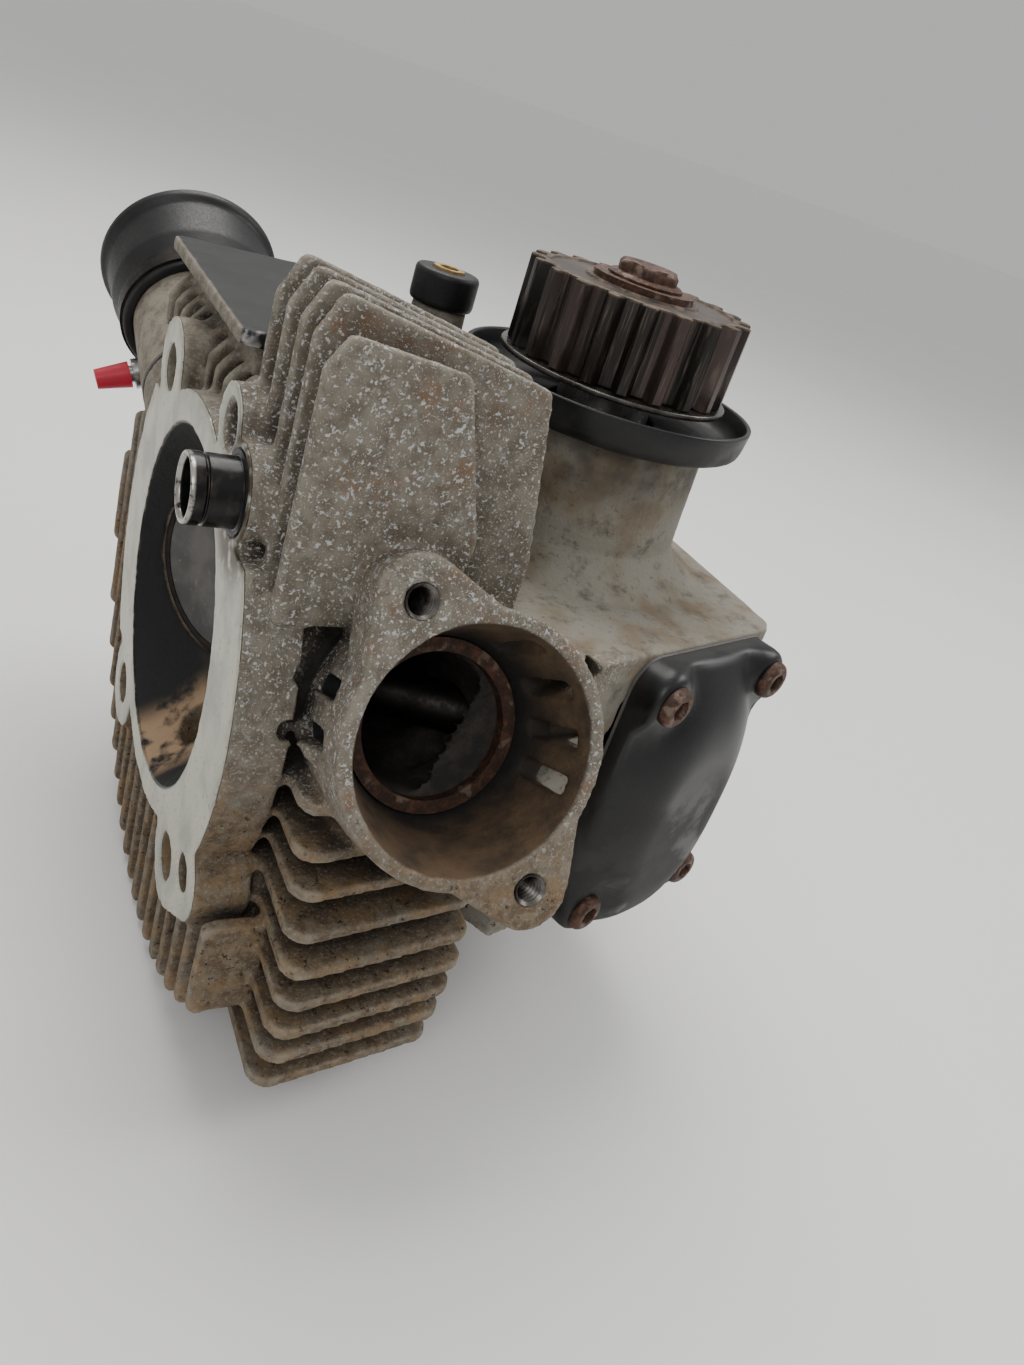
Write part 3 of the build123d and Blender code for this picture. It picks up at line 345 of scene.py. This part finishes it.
    port = p.times(p.band(out, -24.0, -25.5), p.band(off_axis, 34.0, 30.0), p.band(p.x, 66.0, 62.0))
    colour = p.mix(port, colour, p.mix(p.spots(5.0, 0.4, 0.7), (0.022, 0.019, 0.017), (0.045, 0.036, 0.030)))

    # Painted panel.
    panel = p.times(p.band(p.z, PANEL_Z - 0.3, PANEL_Z), p.band(p.y, PANEL_Y, PANEL_Y + 1),
                    p.band(p.x, PANEL_X, PANEL_X - 1), p.band(p.x, 5.4, 6.2))
    chips = p.times(p.corners(), p.spots(4.0, 0.45, 0.6))
    paint = p.mix(p.spots(9.0, 0.35, 0.75), BLACK, (0.012, 0.012, 0.012))
    colour = p.mix(panel, colour, p.mix(chips, paint, STEEL))

    plain = p.sum("SUBTRACT", 1.0, p.sum("MAXIMUM", deck, panel))
    grain = p.times(p.noise(1.1, detail=4, rough=0.7), plain)
    lumps = p.times(p.noise(4.0, detail=3), plain)
    p.bump((lumps, 0.40), (grain, 0.34), (p.times(rings, deck), 0.03), (p.times(oxide, plain), 0.14))
    rough = p.mix(deck, (0.78,) * 3, (0.42,) * 3)
    rough = p.mix(panel, rough, (0.60,) * 3)
    metal = p.times(deck, 0.55)
    p.feed(p.shader.inputs["Specular IOR Level"], 0.30)
    return p.finish(colour, rough, metal)


def steel(name, base=STEEL, roughness=0.34, stain=(0.16, 0.14, 0.12), amount=0.5):
    p = Paint(name)
    brushed = p.noise(1.2, detail=3)
    colour = p.mix(p.times(p.spots(5.0, 0.42, 0.66, detail=4), amount), base, stain)
    p.bump((brushed, 0.02),)
    rough = p.band(brushed, 0.3, 0.7, roughness - 0.08, roughness + 0.1)
    return p.finish(colour, rough, 0.9)


def rusty_steel(name, worn_amount=0.5):
    p = Paint(name)
    colour = p.mix(p.spots(2.2, 0.34, 0.58, detail=6, rough=0.7), RUST, RUST_DARK)
    colour = p.mix(p.times(p.spots(3.2, 0.54, 0.66, detail=5), worn_amount), colour, (0.24, 0.18, 0.14))
    grain = p.noise(0.7, detail=4, rough=0.7)
    p.bump((grain, 0.10), (p.noise(2.5), 0.12))
    return p.finish(colour, p.band(grain, 0.3, 0.7, 0.45, 0.75), 0.45)


def pulley_steel():
    """Dark belt pulley whose teeth differ a little from one to the next."""
    p = Paint("pulley_steel")
    angle = p.sum("ARCTAN2", p.y, p.sum("SUBTRACT", p.x, CAM_X))
    tooth = p.sum("FLOOR", p.times(angle, PULLEY_TEETH / (2 * math.pi)))
    chance = p.noise(1.0, detail=0, place=p.join(p.times(tooth, 3.7), 0.0, 0.0))
    streaks = p.noise(1.0, detail=4, place=p.join(p.times(angle, 60.0), 0.0, p.times(p.z, 0.10)))
    colour = p.mix(p.band(chance, 0.42, 0.62), (0.022, 0.019, 0.017), (0.070, 0.050, 0.045))
    colour = p.mix(p.times(p.band(streaks, 0.50, 0.72), 0.6), colour, (0.15, 0.12, 0.09))
    top = p.band(p.z, 97.6, 98.1)
    top_colour = p.mix(p.spots(3.0, 0.4, 0.62, detail=5), (0.12, 0.085, 0.060), (0.035, 0.026, 0.020))
    colour = p.mix(top, colour, top_colour)
    p.bump((streaks, 0.05), (p.noise(0.9, detail=4), 0.05))
    rough = p.mix(top, (0.30,) * 3, (0.6,) * 3)
    return p.finish(colour, rough, 0.65)


def black_coat(name, dust_low, dust_high, gloss=0.36):
    """Satin black finish with grey dust below a height and a painted highlight on its outer edges."""
    p = Paint(name)
    film = p.noise(14.0, detail=5, rough=0.6)
    dusty = p.times(p.band(p.z, dust_high, dust_low), p.band(film, 0.32, 0.62))
    specks = p.spots(0.9, 0.66, 0.72, detail=2)
    colour = p.mix(p.times(dusty, 0.55), BLACK, DUST_AND_SHEEN)
    colour = p.mix(p.times(specks, 0.18), colour, DUST_AND_SHEEN)
    # Painted highlight: outer edges lightened towards grey.
    colour = p.mix(p.times(p.corners(0.53, 0.60), 0.25), colour, DUST_AND_SHEEN)
    grain = p.noise(0.6, detail=3)
    p.bump((grain, 0.03),)
    rough = p.band(dusty, 0.0, 0.6, gloss, 0.66)
    p.feed(p.shader.inputs["Specular IOR Level"], 0.34)
    return p.finish(colour, rough, 0.0)


def rubber(name, base, roughness=0.62, dust=0.25):
    p = Paint(name)
    colour = p.mix(p.times(p.spots(7.0, 0.40, 0.70, detail=5), dust), base, DUST_AND_SHEEN)
    grain = p.noise(0.5, detail=3)
    p.bump((grain, 0.04), (p.noise(6.0), 0.10))
    p.feed(p.shader.inputs["Specular IOR Level"], 0.34)
    return p.finish(colour, p.band(grain, 0.3, 0.7, roughness - 0.08, roughness + 0.1))


def sleeve_steel():
    """Blackened tube with a worn bright lip."""
    p = Paint("sleeve_steel")
    lip = p.times(p.band(p.x, -8.9, -9.4), p.spots(2.0, 0.34, 0.5, detail=4))
    colour = p.mix(p.spots(3.0, 0.5, 0.7, detail=4), (0.016, 0.015, 0.015), (0.040, 0.032, 0.026))
    colour = p.mix(lip, colour, (0.36, 0.34, 0.31))
    p.bump((p.noise(0.9, detail=3), 0.03),)
    return p.finish(colour, 0.24, 0.75)


def valve_disc():
    """Dark, heat-dulled valve steel."""
    p = Paint("valve_steel")
    colour = p.mix(p.spots(9.0, 0.35, 0.7, detail=5), (0.050, 0.048, 0.046), (0.095, 0.088, 0.080))
    colour = p.mix(p.spots(1.5, 0.66, 0.72), colour, (0.16, 0.13, 0.10))
    p.bump((p.noise(1.0, detail=4), 0.05),)
    return p.finish(colour, 0.5, 0.35)


def fibre():
    p = Paint("fibre")
    colour = p.mix(p.noise(1.5, detail=5), (0.05, 0.05, 0.05), (0.13, 0.12, 0.11))
    p.bump((p.noise(0.6, detail=4), 0.05),)
    return p.finish(colour, 0.85)


def pale_floor():
    p = Paint("pale_floor")
    colour = p.mix(p.noise(180.0, detail=5), (0.66, 0.655, 0.645), (0.72, 0.715, 0.705))
    p.bump((p.noise(2.0, detail=4), 0.02),)
    return p.finish(colour, 0.55)


# --- meshes ---
def copy_of(node, name=None):
    """A clean copy of a CAD node's mesh, ready to be worked on."""
    source = frame["nodes"][node]
    mesh = source.data.copy()
    mesh.materials.clear()
    piece = bpy.data.objects.new(name or node + "_skin", mesh)
    bpy.context.scene.collection.objects.link(piece)
    work = bmesh.new()
    work.from_mesh(mesh)
    bmesh.ops.remove_doubles(work, verts=work.verts, dist=0.00002)
    work.to_mesh(mesh)
    work.free()
    if mesh.has_custom_normals:
        bpy.context.view_layer.objects.active = piece
        with bpy.context.temp_override(object=piece, active_object=piece):
            bpy.ops.mesh.customdata_custom_splitnormals_clear()
    return piece


def apply_modifiers(piece):
    """Bakes the piece's modifiers into its mesh."""
    graph = bpy.context.evaluated_depsgraph_get()
    mesh = bpy.data.meshes.new_from_object(piece.evaluated_get(graph))
    piece.modifiers.clear()
    old = piece.data
    piece.data = mesh
    bpy.data.meshes.remove(old)
    return piece


def shade_smooth(piece, angle=None):
    for polygon in piece.data.polygons:
        polygon.use_smooth = True
    if angle is not None:
        with bpy.context.temp_override(object=piece, active_object=piece, selected_editable_objects=[piece]):
            bpy.ops.object.shade_smooth_by_angle(angle=math.radians(angle))
    return piece


def place(piece, node, material, slot):
    """The piece stands for a CAD node: it rides on that node's body and takes the given material; the slot
    argument is not used.
    """
    body = frame["nodes"][node]["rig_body"]
    piece.data.materials.clear()
    piece.data.materials.append(material)
    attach(piece, body)
    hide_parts(node)
    return piece


def in_port(point):
    """Whether a point, in mm, lies in the exhaust port behind the gasket seat."""
    from_mouth = point - Vector(COLLAR_MOUTH)
    out = from_mouth.dot(Vector(COLLAR_NORMAL))
    off_axis = (from_mouth - Vector(COLLAR_NORMAL) * out).length
    return PORT_OUT[0] < out < PORT_OUT[1] and off_axis < PORT_R


def calm(piece, inside, passes=24):
    """Evens out the vertices that lie inside a region."""
    work = bmesh.new()
    work.from_mesh(piece.data)
    chosen = [vertex for vertex in work.verts if inside(vertex.co / MM)]
    for _ in range(passes):
        bmesh.ops.smooth_vert(work, verts=chosen, factor=0.5,
                              use_axis_x=True, use_axis_y=True, use_axis_z=True)
    work.to_mesh(piece.data)
    work.free()


def cast_skin(node, voxel, keep, waves=0.0, wave_size=5.0, even_out=None):
    """Rounded cast surface over a CAD node: remeshed, eased, made a little uneven and thinned out."""
    piece = copy_of(node)
    remesh = piece.modifiers.new("even", "REMESH")
    remesh.mode = "VOXEL"
    remesh.voxel_size = voxel * MM
    ease = piece.modifiers.new("ease", "SMOOTH")
    ease.factor = 0.5
    ease.iterations = 3
    if even_out:
        apply_modifiers(piece)
        calm(piece, even_out)
    if waves:
        group_waves(piece, waves, wave_size)
    if keep < 1:
        thin = piece.modifiers.new("thin", "DECIMATE")
        thin.ratio = keep
    apply_modifiers(piece)
    return shade_smooth(piece)


def group_waves(piece, depth, size):
    texture = bpy.data.textures.new("cast_waves", "CLOUDS")
    texture.noise_scale = size * MM
    texture.noise_depth = 2
    uneven = piece.modifiers.new("uneven", "DISPLACE")
    uneven.texture = texture
    uneven.texture_coords = "LOCAL"
    uneven.strength = depth * MM
    uneven.mid_level = 0.9


def axis_frame(origin, axis, across=None):
    """Matrix whose Z runs along the axis and whose X leans towards across; places in mm."""
    z = Vector(axis).normalized()
    guide = Vector(across) if across else (Vector((1, 0, 0)) if abs(z.x) < 0.9 else Vector((0, 1, 0)))
    x = (guide - z * guide.dot(z)).normalized()
    turn = Matrix((x, z.cross(x), z)).transposed().to_4x4()
    return Matrix.Translation(Vector(origin)) @ turn


def ringed(name, rings, frame_at, close_profile=False, start_cap=False, end_cap=False, angle=40):
    """Skin over rings of points (x, y, height) that all have the same count, placed by a matrix in mm."""
    work = bmesh.new()
    rows = [[work.verts.new((frame_at @ Vector(point)) * MM) for point in ring] for ring in rings]
    pairs = list(zip(rows, rows[1:]))
    if close_profile:
        pairs.append((rows[-1], rows[0]))
    for lower, upper in pairs:
        for i in range(len(lower)):
            j = (i + 1) % len(lower)
            work.faces.new((lower[i], lower[j], upper[j], upper[i]))
    for row, wanted in ((rows[0], start_cap), (rows[-1], end_cap)):
        if wanted:
            middle = sum((vertex.co for vertex in row), Vector()) / len(row)
            tip = work.verts.new(middle)
            for i in range(len(row)):
                work.faces.new((row[i], row[(i + 1) % len(row)], tip))
    bmesh.ops.recalc_face_normals(work, faces=work.faces)
    mesh = bpy.data.meshes.new(name)
    work.to_mesh(mesh)
    work.free()
    piece = bpy.data.objects.new(name, mesh)
    bpy.context.scene.collection.objects.link(piece)
    return shade_smooth(piece, angle)


def circle(radius, height, count=96):
    turns = [2 * math.pi * i / count for i in range(count)]
    return [(radius * math.cos(t), radius * math.sin(t), height) for t in turns]


def hexagon(radius, height, count=96, soften=0.06):
    """Six-sided outline with slightly eased corners; radius is to the corners."""
    ring = []
    for i in range(count):
        turn = 2 * math.pi * i / count
        off = (turn + math.pi / 6) % (math.pi / 3) - math.pi / 6
        flat = math.cos(math.pi / 6) / math.cos(math.pi / 6 - abs(off))
        reach = radius * min(flat, 1 - soften)
        ring.append((reach * math.cos(turn), reach * math.sin(turn), height))
    return ring


def rounded(profile, radius, steps=3):
    """A closed outline of (r, height) points with its corners turned into small arcs."""
    made = []
    count = len(profile)
    for i, point in enumerate(profile):
        corner = Vector(point)
        before, after = Vector(profile[i - 1]), Vector(profile[(i + 1) % count])
        reach = min(radius, (before - corner).length * 0.45, (after - corner).length * 0.45)
        start = corner + (before - corner).normalized() * reach
        end = corner + (after - corner).normalized() * reach
        for step in range(steps + 1):
            t = step / steps
            made.append(start * (1 - t) ** 2 + corner * 2 * t * (1 - t) + end * t * t)
    return made


def lathe(name, origin, axis, profile, radius=0.5, count=96):
    """Ring-shaped piece turned about an axis from a closed (r, height) outline."""
    rings = [circle(r, height, count) for r, height in rounded(profile, radius)]
    return ringed(name, rings, axis_frame(origin, axis), close_profile=True)


def smooth_step(value):
    value = min(max(value, 0.0), 1.0)
    return value * value * (3 - 2 * value)


def rounded_rectangle(half_x, half_y, radius, arc_steps=10, side_steps=14):
    """Points round a rounded rectangle, the same count whatever its size."""
    points = []
    corners = ((1, 1, 0), (-1, 1, 90), (-1, -1, 180), (1, -1, 270))
    for index, (sx, sy, first) in enumerate(corners):
        cx, cy = sx * (half_x - radius), sy * (half_y - radius)
        for step in range(arc_steps):
            turn = math.radians(first + 90 * step / (arc_steps - 1))
            points.append(Vector((cx + radius * math.cos(turn), cy + radius * math.sin(turn))))
        nx, ny, start = corners[(index + 1) % 4]
        turn = math.radians(start)
        following = Vector((nx * (half_x - radius) + radius * math.cos(turn),
                            ny * (half_y - radius) + radius * math.sin(turn)))
        last = points[-1]
        points += [last.lerp(following, step / side_steps) for step in range(1, side_steps)]
    return points


def seam_matrix(side):
    """Frame of a valve cover's joint: X up the seam, Z outwards."""
    (ax, ay), (bx, by) = SEAM_A, SEAM_B
    along = Vector((bx - ax, side * (by - ay), 0))
    outward = Vector((ay - by, side * (bx - ax), 0))
    middle = Vector(((ax + bx) / 2, side * (ay + by) / 2, sum(COVER_Z) / 2))
    return axis_frame(middle, outward, along)


def cover_height(x, y):
    """Outer height of a valve cover over its joint: a domed middle that runs into four screw bosses."""
    across = abs(x) / COVER_HALF_X
    up = abs(y + COVER_LEAN) / (COVER_HALF_Y + COVER_LEAN)
    inward = 1 - (across ** COVER_SQUARENESS + up ** COVER_SQUARENESS) ** (1 / COVER_SQUARENESS)
    rise = math.sin(min(max(inward, 0) * COVER_RISE, 1) * math.pi / 2)
    height = COVER_SIDE + (COVER_TOP - COVER_SIDE) * rise
    for place_of_screw in COVER_SCREWS:
        near = math.dist((x, y), place_of_screw)
        pad = smooth_step((PAD_REACH - near) / PAD_BLEND)
        height = height * (1 - pad) + COVER_PAD * pad
    return height


def valve_cover(name, side):
    """Hollow cover: rings from the middle of its outside, over the edge, to the middle of its inside."""
    flip = -side
    outline = rounded_rectangle(COVER_HALF_X - COVER_MARGIN, COVER_HALF_Y - COVER_MARGIN, COVER_CORNER_R)
    hollow = rounded_rectangle(*COVER_HOLLOW)

    def outer(scale, drop=0.0):
        points = [point * scale for point in outline]
        return [(x, y, cover_height(x, flip * y) - drop) for x, y in points]

    def inner(scale):
        points = [point * scale for point in hollow]
        return [(x, y, max(cover_height(x, flip * y) - COVER_WALL, COVER_FOOT + 1)) for x, y in points]

    rings = [outer(step / COVER_OUTER_RINGS) for step in range(1, COVER_OUTER_RINGS - 1)]
    rings += [outer(0.975, 0.15), outer(0.994, 0.9), outer(1.0, 2.2)]
    rings.append([(x, y, (COVER_FOOT + cover_height(x, flip * y)) / 2) for x, y in outline])
    rings.append([(x, y, COVER_FOOT) for x, y in outline])
    rings.append([(x, y, COVER_FOOT) for x, y in hollow])
    rings += [inner(step / COVER_INNER_RINGS) for step in range(COVER_INNER_RINGS, 0, -1)]
    return ringed(name, rings, seam_matrix(side), start_cap=True, end_cap=True, angle=50)


def button_heads(name, at, places, seat, radius=SCREW_HEAD_R, height=SCREW_HEAD_H):
    """Domed screw heads with hexagon sockets, standing on a seat height."""
    heads = []
    for index, (x, y) in enumerate(places):
        lift = Matrix.Translation((x, y, seat))
        spin = Matrix.Rotation(0.7 * index + 0.3, 4, "Z")
        rings = [circle(radius * 0.5, 0), circle(radius - 0.15, 0), circle(radius, 0.3),
                 circle(radius - 0.03, SCREW_RIM_H)]
        for step in range(1, 9):
            turn = step / 8 * math.radians(SCREW_DOME_TURN)
            reach = radius * 0.44 + radius * 0.55 * math.cos(turn) ** 0.9
            rings.append(circle(reach, SCREW_RIM_H + (height - SCREW_RIM_H) * math.sin(turn) / 0.883))
        rings += [hexagon(2.85, height), hexagon(2.7, height - 0.25), hexagon(2.65, 0.6)]
        heads.append(ringed(f"{name}_{index}", rings, at @ lift @ spin, start_cap=True, end_cap=True))
    return join(name, heads)


def join(name, parts):
    """One piece from several, which are taken away."""
    work = bmesh.new()
    for part in parts:
        work.from_mesh(part.data)
    mesh = bpy.data.meshes.new(name)
    work.to_mesh(mesh)
    work.free()
    for part in parts:
        bpy.data.objects.remove(part)
    piece = bpy.data.objects.new(name, mesh)
    bpy.context.scene.collection.objects.link(piece)
    return shade_smooth(piece, 40)


def tooth_ring(height, inset=0.0):
    """Outline of the belt pulley: trapezoid teeth with rounded tips and roots."""
    ring = []
    count = PULLEY_TEETH * TOOTH_STEPS
    for i in range(count):
        phase = i / TOOTH_STEPS % 1.0
        from_gap = abs(phase - 0.5) * 2
        rise = 1 - smooth_step((from_gap - TOOTH_FLAT) / TOOTH_FLANK)
        radius = PULLEY_R - inset - (PULLEY_R - PULLEY_ROOT_R) * (1 - rise)
        turn = 2 * math.pi * (i / count)
        ring.append((radius * math.cos(turn), radius * math.sin(turn), height))
    return ring


def toothed_pulley():
    """Belt pulley with a shallow recess in its outer face."""
    low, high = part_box("cam_pulley")[0].z / MM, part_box("cam_pulley")[1].z / MM
    count = PULLEY_TEETH * TOOTH_STEPS
    rings = [tooth_ring(low, 0.4), tooth_ring(low + 0.4), tooth_ring(high - 0.5),
             tooth_ring(high - 0.12, 0.12), tooth_ring(high, 0.5)]
    face = ((PULLEY_ROOT_R - 1.6, high), (PULLEY_ROOT_R - 2.0, high - 0.5), (15.0, high - 0.5), (14.6, high),
            (PULLEY_BORE_R, high), (PULLEY_BORE_R, low))
    rings += [circle(radius, height, count) for radius, height in face]
    return ringed("belt_pulley", rings, axis_frame((CAM_X, 0, 0), Z_AXIS), close_profile=True, angle=35)


def bolt_head():
    """Flanged hexagon head with a dished top, and the start of its shank."""
    seat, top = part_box("pulley_washer")[1].z / MM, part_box("pulley_bolt")[1].z / MM
    rings = [circle(4.0, seat - 6), circle(4.0, seat), circle(9.6, seat), circle(9.7, seat + 0.6),
             circle(9.0, seat + 1.2), hexagon(8.6, seat + 1.5), hexagon(8.7, top - 1.1),
             hexagon(8.1, top - 0.4), circle(7.0, top - 0.05), circle(5.2, top),
             circle(4.6, top - 0.35), circle(1.5, top - 0.45)]
    at = axis_frame((CAM_X, 0, 0), Z_AXIS)
    return ringed("pulley_bolt_head", rings, at, start_cap=True, end_cap=True, angle=45)


def ear_threads():
    """Thread ridges in the two stud holes of the exhaust flange."""
    at = axis_frame(COLLAR_MOUTH, COLLAR_NORMAL, COLLAR_ACROSS)
    root, crest = THREAD_R - 0.02, THREAD_R - THREAD_DEPTH
    ridge = ((0.0, root), (0.45, crest), (0.6, crest), (0.95, root))
    ears = []
    for index, sign in enumerate((1, -1)):
        angle = math.radians(EAR_ANGLE)
        centre = Matrix.Translation((sign * EAR_SPAN * math.cos(angle), sign * EAR_SPAN * math.sin(angle), 0))
        rings = [circle(THREAD_R + 0.1, -0.1, THREAD_SIDES)]
        for turn in range(THREAD_TURNS):
            start = -0.2 - turn * THREAD_PITCH
            for share, radius in ridge:
                rings.append(circle(radius, start - share * THREAD_PITCH, THREAD_SIDES))
        rings.append(circle(THREAD_R + 0.1, rings[-1][0][2], THREAD_SIDES))
        ears.append(ringed(f"thread_{index}", rings, at @ centre, close_profile=True, angle=30))
    return join("exhaust_stud_threads", ears)


# --- the object ---
def dress(node, material):
    """A CAD node whose shape is right keeps it and gets a better material."""
    mesh = frame["nodes"][node].data
    mesh.materials.clear()
    mesh.materials.append(material)


def make_object():
    """Finishes for every CAD node, and finer pieces in place of those that show most."""
    cast = cast_alloy()
    bright = steel("bright_steel")
    dark = steel("dark_steel", STEEL_DARK, 0.3, (0.12, 0.06, 0.035), 0.45)
    rust = rusty_steel("rusty_steel")
    cover_black = black_coat("cover_black", -30.0, 12.0)
    dish_black = black_coat("dish_black", 60.0, 80.0)
    black_rubber = rubber("black_rubber", (0.006, 0.006, 0.0065), 0.48, 0.16)
    red_rubber = rubber("red_rubber", RED, 0.45, 0.12)
    sleeve_black = sleeve_steel()
    worn_edge = steel("worn_edge", (0.13, 0.12, 0.11), 0.30, (0.04, 0.03, 0.025), 0.6)
    sooty = steel("sooty_steel", (0.030, 0.026, 0.023), 0.5, (0.012, 0.010, 0.009), 0.7)
    brass = steel("brass", BRASS, 0.38, (0.20, 0.13, 0.06))
    bronze = steel("bronze", BRONZE, 0.36, (0.18, 0.11, 0.05))
    finishes = {
        "bare_steel": bright, "dark_steel": dark, "rusty_steel": rust, "valve_steel": valve_disc(),
        "black_paint": cover_black, "black_rubber": black_rubber, "red_rubber": red_rubber,
        "brass": brass, "bronze": bronze, "gasket_fibre": fibre(), "cast_aluminium": cast,
    }
    slots = {part["node"]: part["material_slot"] for part in frame["record"]["subparts"]}
    for node, slot in slots.items():
        dress(node, finishes[slot])
    for node in ("exhaust_valve_guide", "exhaust_valve_seat", "intake_valve_seat", "intake_boot_clamp"):
        dress(node, sooty)

    place(cast_skin("head_casting", 0.8, 0.25, 0.3, even_out=in_port), "head_casting", cast, "cast_aluminium")
    for name, side in (("exhaust", -1), ("intake", 1)):
        place(valve_cover(name + "_cover_shell", side), name + "_valve_cover", cover_black, "black_paint")
        heads = button_heads(name + "_cover_screw_heads", seam_matrix(side), COVER_SCREWS, COVER_PAD)
        place(heads, name + "_cover_screws", rust, "rusty_steel")
    cam_foot = (CAM_X, 0, 0)
    pulley = pulley_steel()
    place(toothed_pulley(), "cam_pulley", pulley, "dark_steel")
    flange = lathe("belt_guide_flange", cam_foot, Z_AXIS, GUIDE_FLANGE, 0.4)
    place(flange, "pulley_guide_flange", worn_edge, "dark_steel")
    place(bolt_head(), "pulley_bolt", rust, "rusty_steel")
    place(lathe("dust_dish", cam_foot, Z_AXIS, DISH, 1.2), "belt_dust_shield", dish_black, "black_paint")
    sleeve = lathe("sleeve_tube", SLEEVE_TIP, (1, 0, 0), SLEEVE, 0.25)
    place(sleeve, "stud_sleeve", sleeve_black, "dark_steel")
    into = tuple(-part for part in DUCT_NORMAL)
    place(lathe("rubber_bell", DUCT_RIM, into, BOOT, 0.9, 128), "intake_boot", black_rubber, "black_rubber")
    bush = lathe("bush_rubber", (*BUSH_AT, 0), Z_AXIS, BUSH, 0.6)
    place(bush, "belt_cover_bush", black_rubber, "black_rubber")
    threads = ear_threads()
    threads.data.materials.append(worn_edge)
    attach(threads, "head")


# --- floor, lights and camera ---
def make_floor():
    z = CAD_BOX[0].z - FLOOR_DROP * MM
    bpy.ops.mesh.primitive_plane_add(size=160, location=(0, 0, z))
    floor = bpy.context.object
    floor.name = "floor"
    floor.data.materials.append(pale_floor())


def area_light(name, location, target, size, power, colour=(1, 1, 1)):
    light = bpy.data.lights.new(name, "AREA")
    light.shape = "DISK"
    light.size = size
    light.energy = power
    light.color = colour
    lamp = bpy.data.objects.new(name, light)
    bpy.context.scene.collection.objects.link(lamp)
    lamp.location = location
    direction = Vector(target) - Vector(location)
    lamp.rotation_euler = direction.to_track_quat("-Z", "Y").to_euler()


def make_lights():
    middle = (0.04, 0.0, 0.0)
    area_light("overhead", (0.10, 0.45, 1.0), middle, 0.9, 13.0, (1.0, 0.985, 0.96))
    area_light("front", (-0.6, -0.9, 0.8), middle, 0.7, 5.0, (0.97, 0.985, 1.0))
    area_light("side", (1.0, -0.2, 0.7), middle, 0.6, 5.0)
    sun = bpy.data.lights.new("room_light", "SUN")
    sun.energy = ROOM
    sun.angle = math.radians(120)
    lamp = bpy.data.objects.new("room_light", sun)
    bpy.context.scene.collection.objects.link(lamp)
    world = bpy.data.worlds.new("room")
    world.use_nodes = True
    background = world.node_tree.nodes["Background"]
    background.inputs["Color"].default_value = (0.95, 0.95, 0.94, 1.0)
    background.inputs["Strength"].default_value = ROOM
    bpy.context.scene.world = world


def make_camera():
    """Camera at the angle from which such a head is seen leaning back on a bench."""
    right = Vector((0.865865, -0.402659, 0.296889))
    up = Vector((-0.031624, 0.548208, 0.835744))
    back = Vector((-0.499277, -0.733031, 0.461940))
    lens = bpy.data.cameras.new("camera")
    lens.sensor_width = 36.0
    lens.lens = 28.07
    lens.clip_start = 0.01
    camera = bpy.data.objects.new("camera", lens)
    bpy.context.scene.collection.objects.link(camera)
    turn = Matrix((right, up, back)).transposed().to_4x4()
    camera.matrix_world = Matrix.Translation((-0.05614, -0.23393, 0.12898)) @ turn
    bpy.context.scene.camera = camera


make_object()
make_floor()
make_lights()
make_camera()
